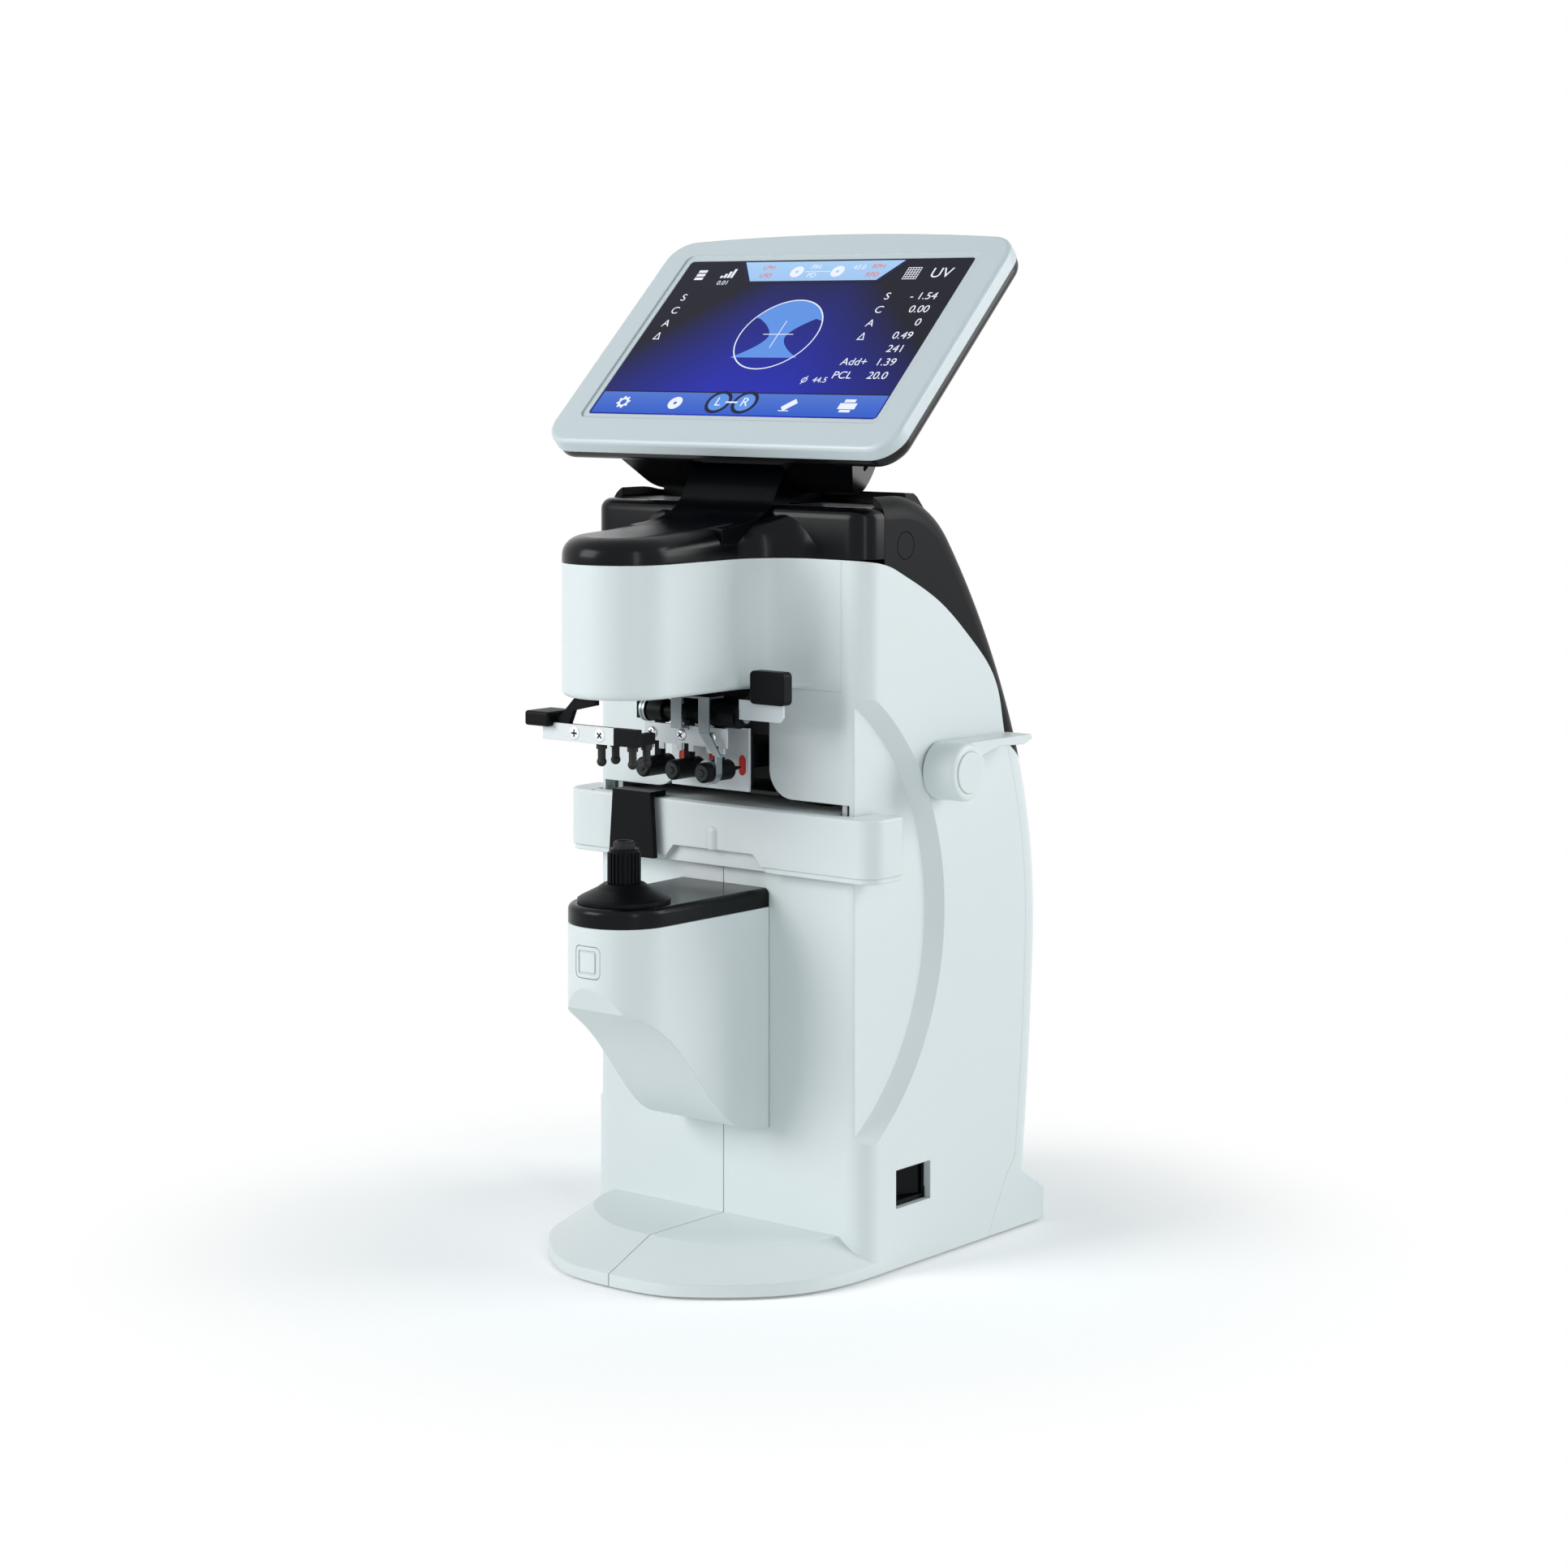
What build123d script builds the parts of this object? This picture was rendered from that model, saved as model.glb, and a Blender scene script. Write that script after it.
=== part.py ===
from build123d import *
import math
import os

# Auto lensmeter, millimetres. +Z is up, the front faces -Y and +X is the viewer's right.
# The origin lies on the table top, in the middle of the outline seen from above.

# Housing
base_z = 1.2
half_width = 74.0
wall = 3.0
seam_gap = 0.4
front_y = -19.3
front_corner_r = 10.0
rear_corner_r = 10.0
head_joint_z = 290.0
crown_z = 316.0
cap_rear_y = -6.0
rear_cover_depth = 12.5
foot_rear_y = 106.4
foot_heel_z = 14.4
foot_front_y = -90.7
foot_rim_z = 6.1
foot_top_z = 16.7
foot_ridge_y = -65.5
foot_ridge_half = half_width - 13.0

# Side recess that the table ends slide in
recess_r = 103.5
recess_slope = 6.0
recess_depth = 6.0
recess_y = -74.7
recess_z = 144.0

# Head
axis_y = -81.4
nose_r = 25.0
nose_floor_z = 236.5
nose_flare_r = 24.0
nose_edge_r = 3.0
cap_nose_z = 301.0
cap_top_z = 311.0
panel_half = half_width - 12.0

# Mechanism opening and table slot
opening_half = 24.5
opening_z = 191.0
opening_depth = 34.0
leg_corner_r = 12.0
slot_half = half_width - 8.0
slot_height = 6.2
liner_wall = 1.5

# Tower
tower_r = 22.5
tower_half = 24.5
tower_joint_z = 146.0
tower_cap_h = 7.5
tower_chin_z = 122.0
tower_root_z = 54.5
button_z = 132.3
button_size = 12.5
button_corner_r = 2.2
button_travel = 1.2
button_frame = 1.6

# Nozzle
cone_r = 18.8
cone_h = 7.5
nozzle_r = 6.75
nozzle_top_z = 175.0
nozzle_rib_count = 24
nozzle_rib = 0.7
seat_r = 4.35
seat_bore_r = 3.0
seat_h = 3.0

# Lens table
table_z = 161.0
table_h = 26.0
table_y = -26.4
table_half = half_width + 9.0
table_thick = 5.8
table_corner_r = 9.0
table_wing_end_y = -6.0
table_wing_inner = half_width - 4.4
table_travel = 35.0
carrier_half = half_width - 16.0
carrier_t = 2.0
scallop_top_half = 21.5
scallop_base_half = 28.5
scallop_h = 7.0
scallop_depth = 3.0
rail_x = 47.0
rail_r = 4.0
rail_fit = 0.05
rail_z = 174.0
rail_length = 78.0

# Lever, gear sector and rack
lever_y = 30.5
lever_z = 201.4
knob_r = 12.0
knob_x = half_width + 1.0
knob_w = 15.0
lever_arm_end_y = 78.5
lever_swing = 75.0
shaft_r = 4.0
shaft_fit = 0.05
sector_x = 36.0
sector_w = 6.0
tooth_h = 2.2
tooth_play = 0.35
tip_play = 0.35

# Pupil distance slider
pd_x = -41.0
pd_top_half = 10.5
pd_base_half = 12.5
pd_gap = 2.0
pd_wall = 2.4

# Presser
pin_dx = 8.3
pin_dy = 4.2
pin_tip_z = 207.6
pin_r = 2.0
presser_z = 217.0
presser_h = 4.4
presser_left = -37.0
presser_right = 14.0
presser_front_y = -89.6
presser_plate_end = 1.5
pin_arm_half = 2.0
carrier_left = -30.5
carrier_rise = 18.0
carrier_lip = 2.4
guide_x = -14.0
guide_r = 3.0

# Marker
marker_y = -41.0
marker_z = 226.0
marker_shaft_r = 2.4
pen_pitch = 16.0
pen_r = 4.15
pen_z = 203.5
pen_front_y = -53.0
pen_length = 18.0
pen_tip_y = -27.4
ink_y = -26.6
ink_half = 19.4
ink_z = 193.5
ink_h = 26.0
carriage_rod_x = 9.0
carriage_rod_r = 2.2
marker_slope = 60.0

# Screen
tilt_y = 5.0
tilt_z = 328.0
screen_tilt = 43.8
lcd_half = 77.0
lcd_h = 93.8
bezel_half = 94.0
bezel_bottom = -18.5
bezel_top = 111.0
bezel_corner_r = 13.0
bezel_t = 6.0
back_t = 6.5
lcd_axis_gap = 29.4
lcd_axis_u = 1.8
knuckle_r = 13.0
knuckle_half = 25.0
knuckle_gap = 0.4
lug_end = 64.0
hinge_pin_r = 3.0

# Feet, switch and inlet
foot_pad_r = 7.0
base_t = 2.0
switch_y = 13.2
switch_z = 33.4
switch_w = 23.3
switch_h = 15.6
rocker_pin_r = 1.2
inlet_z = 44.0


# Values worked out from the sizes above
pitch_r = table_travel / math.radians(lever_swing)
tooth_pitch = 2 * math.pi * pitch_r / round(2 * math.pi * pitch_r / 4.0)
rack_z = lever_z - pitch_r
rack_teeth = int(table_travel / tooth_pitch) + 2
rack_rear_y = lever_y + (rack_teeth + 0.4) * tooth_pitch
floor_z = nose_floor_z + 0.4
floor_t = 3.0
floor_rear_y = front_y + opening_depth
window_r = 6.0
lamp_r = 12.0
barrel_r = 10.5
barrel_drop = 33.0
guide_ys = (-74.0, -65.0)
guide_fit = 0.05
guide_half = 13.5
guide_l = 21.5
carrier_front_y = table_y + 4.0
carrier_rear_y = table_y + 60.0
pd_groove_y = table_y + 2.2
plate_t = 0.9
presser_screw_x = (-19.6, -5.9)
ear_left = -25.4
ear_right = 29.0
ear_t = 1.6
hub_left = -19.5
hub_right = 27.0
comb_t = 1.2
carriage_rod_length = 57.0
cap_disc_r = 8.6
cheek_x = half_width - 12.0
sheet_t = 2.5
cheek_front_y = front_y + wall + 1.0
rail_bore = 20.0
chassis_y = 74.0
chassis_z = base_z + base_t - 0.2
chassis_top_z = 218.0
rocker_x = half_width - 9.0
inlet_x = -34.0
inlet_w = 28.0
inlet_h = 21.0
rear_wall_y = 98.6
vent_count = 6
vent_z = 128.0
vent_pitch = 6.0
vent_h = 2.4
vent_half = 30.0
plug_y = 8.0
plug_z = 295.0
plug_r = 5.5
dish_z = 311.0
dish_half = half_width - 6.0
dish_rear_y = 22.0


def block(x_range, y_range, z_range):
    """A box between two corners, given as one range for each axis."""
    size = [b - a for a, b in (x_range, y_range, z_range)]
    corner = Pos(x_range[0], y_range[0], z_range[0])
    return corner * Box(*size, align=(Align.MIN, Align.MIN, Align.MIN))


def rod_x(x_range, y, z, radius):
    """A round bar along X."""
    length = x_range[1] - x_range[0]
    return Pos(x_range[0] + length / 2, y, z) * Rot(0, 90, 0) * Cylinder(radius, length)


def rod_y(x, y_range, z, radius):
    """A round bar along Y."""
    length = y_range[1] - y_range[0]
    return Pos(x, y_range[0] + length / 2, z) * Rot(90, 0, 0) * Cylinder(radius, length)


def rod_z(x, y, z_range, radius):
    """A round bar along Z."""
    length = z_range[1] - z_range[0]
    return Pos(x, y, z_range[0] + length / 2) * Cylinder(radius, length)


def side_polygon(points, x_range):
    """A straight-sided outline in (y, z), drawn out along X."""
    face = make_face(Polyline(*points, close=True))
    return Pos(x_range[0], 0, 0) * extrude(Plane.YZ * face, amount=x_range[1] - x_range[0])


def mirror_x(shape):
    return mirror(shape, about=Plane.YZ)


def edges_along(shape, axis, x_abs):
    """Edges parallel to an axis that lie at the given distance from X = 0."""
    found = shape.edges().filter_by(axis)
    return found.filter_by(lambda e: abs(abs(e.center().X) - x_abs) < 0.01)


# Outlines of the housing, seen from the side

rear_lean = (0.12, 1.0)
rear_points = [(97.7, 30.0), (105.4, 122.0), (90.6, 213.0), (43.0, 297.6)]
hood_arc_count = 3
hood_seam = [(4.7, 284.0), (30.4, 271.4), (53.2, 254.2), (72.9, 231.2)]
hood_back_z = 197.0
heel_top = (80.0, 31.0)
foot_seam = [(65.4, base_z), (79.0, 25.0)]


def rear_outline():
    """Points of the rear outline with its direction at each: one tangent arc joins each pair."""
    found = [(Vector(*rear_points[0]), Vector(*rear_lean).normalized())]
    for target in rear_points[1:]:
        start, direction = found[-1]
        arc = TangentArc(start, Vector(*target), tangent=direction)
        found.append((Vector(*target), arc % 1))
    start, direction = found[-1]
    turn = math.pi - math.atan2(direction.Y, direction.X)
    radius = (crown_z - start.Y) / (1 - math.cos(turn))
    found.append((Vector(start.X - radius * math.sin(turn), crown_z), Vector(-1, 0)))
    return found


def rear_arcs(inset=0.0, last=None):
    """The rear outline moved inwards, up to the given point of it."""
    moved = [(point + Vector(-way.Y, way.X) * inset, way) for point, way in rear_outline()][:last]
    return [TangentArc(a, b, tangent=way) for (a, way), (b, _) in zip(moved, moved[1:])]


def column_face(inset=0.0):
    """Column, hood and rear cover together, without the heel of the foot."""
    arcs = rear_arcs(inset)
    low, top = arcs[0] @ 0, arcs[-1] @ 1
    front = front_y + inset
    rest = Polyline(top, (front, top.Y), (front, base_z), (low.X - 2.0, base_z), low)
    return make_face(Curve() + arcs + rest)


def seam_tip():
    tip = rear_arcs(rear_cover_depth, hood_arc_count)[-1] @ 1
    return (tip.X, tip.Y)


def hood_seam_curve():
    points = [seam_tip(), *reversed(hood_seam), (front_y, head_joint_z)]
    return Spline(*points, tangents=[(-0.45, 1.0), (-1.0, 0.12)])


def shell_region():
    """Everything in front of the rear cover seam and under the hood seam."""
    side = rear_arcs(rear_cover_depth, hood_arc_count)
    lower = Polyline((front_y - 1, base_z), *foot_seam, side[0] @ 0)
    front = Polyline((front_y, head_joint_z), (front_y - 1, head_joint_z), (front_y - 1, base_z))
    face = make_face(Curve() + side + lower + hood_seam_curve() + front)
    return extrude(Plane.YZ * face, amount=half_width + 5, both=True)


def hood_region():
    """Everything above the hood seam and behind the head cap."""
    y, z = seam_tip()
    rest = Polyline((front_y, head_joint_z), (front_y, crown_z + 20), (y + 40, crown_z + 20),
                    (y + 40, hood_back_z), (y + rear_cover_depth + 3.5, hood_back_z), (y, z))
    face = make_face(hood_seam_curve() + rest)
    region = extrude(Plane.YZ * face, amount=half_width + 5, both=True)
    return region - block((-200, 200), (front_y - 50, cap_rear_y), (0, 500))


def foot_curve(side_x, side_y, front):
    """Half of a rounded foot outline, from the side to the centre line."""
    span = side_y - front
    return Spline((side_x, side_y), (side_x * 0.835, front + span * 0.4), (side_x * 0.5, front + span * 0.113),
                  (0, front), tangents=[(0, -1), (-1, 0)])


def foot_face(side_x, front, inset=0.0):
    side_y = front_y + 9.0
    half = foot_curve(side_x - inset, side_y, front + inset)
    back = Polyline((side_x - inset, side_y), (side_x - inset, 20), (inset - side_x, 20), (inset - side_x, side_y))
    return make_face(half + mirror(half, about=Plane.YZ) + back)


def foot_form():
    """Foot plate with a low rim that rises in a ramp to a flat top before the column."""
    rim = Pos(0, 0, base_z) * extrude(foot_face(half_width, foot_front_y), amount=foot_rim_z - base_z)
    low = Pos(0, 0, foot_rim_z) * foot_face(half_width, foot_front_y)
    high = Pos(0, 0, foot_top_z) * foot_face(foot_ridge_half, foot_ridge_y)
    return rim + loft([low, high])


def heel_form():
    """Flared heel at the rear of the foot."""
    y, z = heel_top
    return side_polygon([(40, base_z), (foot_rear_y, base_z), (foot_rear_y, foot_heel_z), (y, z), (40, z)],
                        (-half_width, half_width))


def column_form(inset=0.0):
    """The upright body, or the space inside its walls."""
    half = half_width - inset
    column = extrude(Plane.YZ * column_face(inset), amount=half, both=True)
    column = fillet(edges_along(column, Axis.Z, half), front_corner_r - inset)
    rear = column.edges().filter_by(lambda e: abs(abs(e.center().X) - half) < 0.01)
    rear = rear.filter_by(GeomType.CIRCLE)
    return fillet(rear, rear_corner_r - inset)


def recess_cut():
    """Shallow conical cut that leaves the curved step on the right side of the column."""
    low = (Align.CENTER, Align.CENTER, Align.MIN)
    outer_r = recess_r + recess_slope
    cone = Cone(recess_r, outer_r, recess_depth, align=low)
    rim = Pos(0, 0, recess_depth) * Cylinder(outer_r, 4, align=low)
    return Pos(half_width - recess_depth, recess_y, recess_z) * Rot(0, 90, 0) * (cone + rim)


def opening_cut():
    """Mechanism opening with the wide slot for the table carrier under the legs."""
    low = (Align.CENTER, Align.MIN)
    upper = Pos(0, opening_z) * Rectangle(2 * opening_half, nose_floor_z - opening_z + 6, align=low)
    slot = Pos(0, opening_z - slot_height) * Rectangle(2 * slot_half, slot_height, align=low)
    profile = upper + slot
    legs = profile.vertices().filter_by(
        lambda v: abs(abs(v.X) - opening_half) < 0.1 and abs(v.Y - opening_z) < 0.1)
    profile = fillet(legs, leg_corner_r)
    return Pos(0, front_y - 1, 0) * extrude(Plane.XZ * profile, amount=-(wall + 3))


def head_plan(inset):
    """Plan of the nose with its concave flares into the wide front of the head."""
    back_y = front_y + wall
    centre_y = front_y - nose_flare_r
    centre_x = nose_r + nose_flare_r
    plan = Pos(0, axis_y) * Circle(nose_r - inset)
    plan += Pos(0, (axis_y + back_y) / 2) * Rectangle(2 * (nose_r - inset), back_y - axis_y)
    web = Pos(0, (centre_y + back_y) / 2) * Rectangle(2 * centre_x, back_y - centre_y)
    for side in (-1, 1):
        web -= Pos(side * centre_x, centre_y) * Circle(nose_flare_r + inset)
    return plan + web


def head_form(inset, z_range):
    return Pos(0, 0, z_range[0]) * extrude(head_plan(inset), amount=z_range[1] - z_range[0])


# Housing pieces

column = column_form()
inner_column = column_form(wall)


def inner_space():
    """Hollow inside the column, clear of the side recesses and the base plate."""
    side = block((half_width - recess_depth - wall, 100), (-60, recess_r + recess_y + 14), (30, 262))
    top = block((-200, 200), (-200, 200), (-50, base_z + base_t))
    return inner_column - side - mirror_x(side) - top


def under_foot():
    """Shallow space for the base plate."""
    front = extrude(foot_face(half_width, foot_front_y, wall), amount=base_t + base_z)
    rear = block((wall - half_width, half_width - wall), (0, foot_rear_y - wall), (0, base_t + base_z))
    return front + rear


def front_wall_cuts():
    """Holes in the front wall for the table rails and the rack."""
    cuts = block((sector_x - sector_w, sector_x + sector_w), (front_y - 2, front_y + 9), (rack_z - 7, rack_z + 3))
    for x in (-rail_x, rail_x):
        cuts += rod_y(x, (front_y - 2, front_y + 9), rail_z, rail_r + 0.8)
    return cuts


def side_wall_cuts():
    """Bore for the lever shaft and square recess for the power switch, both on the right."""
    shaft = rod_x((20, 100), lever_y, lever_z, shaft_r + 0.6)
    switch = block((40, 100), (switch_y - switch_w / 2, switch_y + switch_w / 2),
                   (switch_z - switch_h / 2, switch_z + switch_h / 2))
    return shaft + switch


def housing_solid():
    solid = column + heel_form()
    solid = solid & shell_region()
    solid += foot_form()
    solid -= inner_space() + under_foot()
    solid -= recess_cut()
    solid -= mirror_x(recess_cut())
    solid -= opening_cut()
    solid -= front_wall_cuts()
    solid -= side_wall_cuts()
    return solid - block((-panel_half, panel_half), (front_y - 50, front_y + wall), (nose_floor_z, 400))


def make_side_shells():
    solid = housing_solid()
    half = block((seam_gap / 2, 200), (-200, 200), (-10, 400))
    return solid & half, solid & mirror_x(half)


def make_rear_cover():
    solid = column + heel_form()
    solid = solid - shell_region() - hood_region() - block((-200, 200), (-200, 40), (-10, 400))
    solid -= inner_space() + under_foot()
    solid -= block((inlet_x - inlet_w / 2, inlet_x + inlet_w / 2), (60, 130), (inlet_z - inlet_h / 2, inlet_z + inlet_h / 2))
    for i in range(vent_count):
        z = vent_z + i * vent_pitch
        solid -= block((-vent_half, vent_half), (80, 130), (z, z + vent_h))
    return solid


def make_rear_hood():
    """Black hood with a shallow dish under the screen hinge and a round plug on each side."""
    solid = (column & hood_region()) - inner_space()
    dish = block((-dish_half, dish_half), (cap_rear_y - 5, dish_rear_y), (dish_z, crown_z + 10))
    dish = fillet(dish.edges().filter_by(Axis.Z).filter_by(lambda e: e.center().Y > 0), 6.0)
    roof = block((-dish_half - 2, dish_half + 2), (cap_rear_y, dish_rear_y + 3), (dish_z - 3, dish_z))
    solid = solid + (roof & column) - dish
    for side in (-1, 1):
        groove = Cylinder(plug_r + 0.3, 2.0) - Cylinder(plug_r, 2.0)
        solid -= Pos(side * half_width, plug_y, plug_z) * Rot(0, 90, 0) * groove
    return solid


def make_head_shell():
    nose = head_form(0, (nose_floor_z, head_joint_z))
    rim = nose.edges().filter_by(lambda e: abs(e.center().Z - nose_floor_z) < 0.01 and e.center().Y < front_y - 1)
    nose = fillet(rim, nose_edge_r)
    panel = block((-panel_half, panel_half), (front_y, front_y + wall), (nose_floor_z, head_joint_z))
    return nose + panel - head_form(wall, (nose_floor_z - 1, head_joint_z + 1))


def carriage_place():
    """Location of the slanted travel of the marker, its Z along the travel."""
    return Pos(0, marker_y + 9.6, marker_z + 8.5) * Rot(marker_slope - 90, 0, 0)


def make_head_floor():
    """Floor plate of the nose with the slanted guide block of the marker."""
    top = floor_z + floor_t
    low = (Align.CENTER, Align.CENTER, Align.MIN)
    plate = head_form(wall + 0.2, (floor_z, top))
    plate += block((-opening_half + 1, opening_half - 1), (front_y + wall - 1, floor_rear_y), (floor_z, top))
    guide = carriage_place() * Box(2 * guide_half, 9, guide_l, align=low)
    plate += guide & block((-60, 60), (-60, 60), (floor_z, 400))
    plate -= rod_z(0, axis_y, (floor_z - 1, top + 1), window_r)
    for y in guide_ys:
        plate -= rod_z(guide_x, y, (floor_z - 1, top + 1), guide_r + guide_fit)
    for x in (-carriage_rod_x, carriage_rod_x):
        plate -= carriage_place() * Pos(x, 0, 0) * Cylinder(carriage_rod_r + shaft_fit, 90)
    return plate


def make_head_cap():
    """Glossy cap that ramps up from the nose to the screen neck."""
    z0 = head_joint_z + 0.3
    plan = head_plan(0) + Pos(0, (front_y + cap_rear_y) / 2) * Rectangle(2 * half_width, cap_rear_y - front_y)
    corners = plan.vertices().filter_by(lambda v: abs(v.X) > half_width - 1 and v.Y < front_y + 1)
    plan = fillet(corners, front_corner_r)
    cap = Pos(0, 0, z0) * extrude(plan, amount=cap_top_z - z0)
    ramp = Spline((axis_y - nose_r - 5, cap_nose_z - 2.0), (axis_y, cap_nose_z), (axis_y + 25, cap_nose_z + 3.6),
                  (front_y, cap_top_z - 0.5), tangents=[(1, 0.05), (1, 0.2)])
    under = Polyline((front_y, cap_top_z - 0.5), (front_y + 0.1, cap_top_z), (0, cap_top_z), (0, z0 - 1),
                     (axis_y - nose_r - 5, z0 - 1), (axis_y - nose_r - 5, cap_nose_z - 2.0))
    cap &= extrude(Plane.YZ * make_face(ramp + under), amount=100, both=True)
    cap -= head_form(wall, (z0 - 1, cap_nose_z - 4))
    return cap + make_neck()


def make_neck():
    """Upswept neck with the fixed knuckle of the screen hinge."""
    front = Spline((axis_y + 22, cap_nose_z + 1.5), (front_y - 12, cap_top_z - 1), (front_y + 4, cap_top_z + 9),
                   (tilt_y - knuckle_r, tilt_z), tangents=[(1, 0.12), (0.1, 1)])
    rest = Polyline((tilt_y - knuckle_r, tilt_z), (tilt_y, tilt_z), (tilt_y + knuckle_r, tilt_z),
                    (tilt_y + knuckle_r - 2, dish_z + 0.3), (cap_rear_y, dish_z + 0.3), (cap_rear_y, head_joint_z + 8),
                    (axis_y + 22, head_joint_z + 8), (axis_y + 22, cap_nose_z + 1.5))
    neck = extrude(Plane.YZ * make_face(front + rest), amount=knuckle_half, both=True)
    neck += rod_x((-knuckle_half, knuckle_half), tilt_y, tilt_z, knuckle_r)
    return neck - rod_x((-90, 90), tilt_y, tilt_z, hinge_pin_r)


def make_hinge_pin():
    return rod_x((-lug_end + 12, lug_end - 12), tilt_y, tilt_z, hinge_pin_r)


def make_opening_liner():
    """Dark box behind the mechanism, open to the front and top, with the block that holds the ink plate."""
    outer_half = opening_half + 1.0 + liner_wall
    y0 = front_y + wall + 0.2
    outer = block((-outer_half, outer_half), (y0, floor_rear_y), (opening_z + 0.4, floor_z))
    inner = block((liner_wall - outer_half, outer_half - liner_wall), (y0 - 1, floor_rear_y - liner_wall),
                  (opening_z + 0.4 + liner_wall, floor_z + 1))
    return outer - inner + make_ink_holder()


def make_base_plate():
    z0 = base_z + 0.2
    front = Pos(0, 0, z0) * extrude(foot_face(half_width, foot_front_y, wall + 0.3), amount=base_t - 0.4)
    rear = block((wall + 0.3 - half_width, half_width - wall - 0.3), (0, foot_rear_y - wall - 0.3),
                 (z0, z0 + base_t - 0.4))
    return front + rear


def foot_spots():
    return [(side * x, y) for side in (-1, 1) for x, y in ((52.0, 88.0), (44.0, -46.0))]


def make_foot_pads():
    pads = Part()
    for x, y in foot_spots():
        pads += rod_z(x, y, (0, base_z + 0.2), foot_pad_r)
    return pads


def make_chassis():
    """Upright plate and two cheeks that carry the table rails and the lever shaft."""
    frame = block((-cheek_x, cheek_x), (chassis_y, chassis_y + sheet_t), (chassis_z, chassis_top_z))
    cheek = block((cheek_x - sheet_t, cheek_x), (cheek_front_y, chassis_y + 1), (chassis_z, chassis_top_z))
    cheek -= block((0, 100), (-100, switch_y + switch_w / 2 + 4), (0, switch_z + switch_h / 2 + 4))
    frame += cheek + mirror_x(cheek)
    frame += block((-cheek_x, cheek_x), (switch_y + switch_w / 2 + 4, chassis_y + 1), (chassis_z, chassis_z + sheet_t))
    return frame - rod_x((-90, 90), lever_y, lever_z, shaft_r + shaft_fit)


def make_rail_beam():
    """Cross beam with the bores that the table rails run in."""
    inner = cheek_x - sheet_t
    beam = block((-inner, inner), (cheek_front_y, cheek_front_y + rail_bore), (rail_z - 9, rail_z + 9))
    beam -= block((sector_x - sector_w, sector_x + sector_w), (-60, 60), (rack_z - 7, rail_z + 20))
    for x in (-rail_x, rail_x):
        beam -= rod_y(x, (-60, 60), rail_z, rail_r + rail_fit)
    return beam


# Optics

def make_light_source():
    low = floor_z + floor_t
    barrel = rod_z(0, axis_y, (low, low + 30), lamp_r) + rod_z(0, axis_y, (low + 30, low + 38), lamp_r - 3.5)
    barrel -= rod_z(0, axis_y, (low - 1, low + 26), lamp_r - 2)
    for i in range(5):
        z = low + 12 + i * 3.2
        barrel -= rod_z(0, axis_y, (z, z + 1.4), lamp_r + 1) - rod_z(0, axis_y, (z, z + 1.4), lamp_r - 1)
    return barrel


def make_light_window():
    return rod_z(0, axis_y, (floor_z + 0.4, floor_z + floor_t - 0.2), window_r - 0.05)


def make_sensor_barrel():
    top = tower_joint_z + tower_cap_h + cone_h - 1.0
    barrel = rod_z(0, axis_y, (top - barrel_drop, top - 8), barrel_r)
    barrel += rod_z(0, axis_y, (tower_joint_z - 2.8, tower_joint_z + 0.2), barrel_r + 6)
    return barrel - rod_z(0, axis_y, (top - barrel_drop + 3, top - 7), barrel_r - 1.8)


def make_pinhole_plate():
    top = tower_joint_z + tower_cap_h + cone_h - 1.0
    plate = rod_z(0, axis_y, (top - 20, top - 18), barrel_r - 1.8)
    for i in range(6):
        angle = math.radians(60 * i)
        plate -= rod_z(4.5 * math.cos(angle), axis_y + 4.5 * math.sin(angle), (top - 21, top - 17), 0.9)
    return plate


def make_sensor_board():
    top = tower_joint_z + tower_cap_h + cone_h - 1.0
    z1 = top - barrel_drop
    return block((-12, 12), (axis_y - 12, axis_y + 12), (z1 - 1.6, z1))


# Tower

def tower_plan(inset):
    """Plan of the tower: round front, sides that widen a little to the column."""
    nose = Pos(0, axis_y) * Circle(tower_r - inset)
    side = make_face(Polyline((-tower_r + inset, axis_y), (tower_r - inset, axis_y), (tower_half - inset, front_y - 0.2),
                              (inset - tower_half, front_y - 0.2), close=True))
    return nose + side


def tower_form(inset, z_range):
    return Pos(0, 0, z_range[0]) * extrude(tower_plan(inset), amount=z_range[1] - z_range[0])


def tower_under():
    """Swept underside of the tower, seen from the side."""
    front = axis_y - tower_r
    reach = front_y - front
    drop = tower_chin_z - tower_root_z
    shares = [(0.065, 0.148), (0.248, 0.281), (0.567, 0.711), (0.733, 0.904)]
    points = [(front + a * reach, tower_chin_z - b * drop) for a, b in shares]
    curve = Spline(*points, (front_y + 6, tower_root_z), tangents=[(1, -0.45), (1, -0.15)])
    rest = Polyline((front_y + 6, tower_root_z), (front_y + 6, 0), (front - 10, 0), (front - 10, tower_chin_z),
                    (front, tower_chin_z), points[0])
    return extrude(Plane.YZ * make_face(curve + rest), amount=2 * tower_half, both=True)


def button_cut(extra):
    size = button_size + 2 * extra
    face = RectangleRounded(size, size, max(button_corner_r + extra, 0.4))
    return Pos(0, axis_y - tower_r - 2, button_z) * Rot(90, 0, 0) * extrude(face, amount=-14)


def make_tower_shell():
    under = tower_under()
    shell = tower_form(0, (tower_root_z - 2, tower_joint_z)) - under
    hollow = tower_form(wall, (tower_root_z, tower_joint_z + 1)) - (Pos(0, 0, wall * 1.5) * under)
    shell -= hollow
    shell -= tower_form(-0.2, (0, 500)) & block((-60, 60), (front_y - 0.3, 60), (0, 500))
    return shell - button_cut(0.25)


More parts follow.
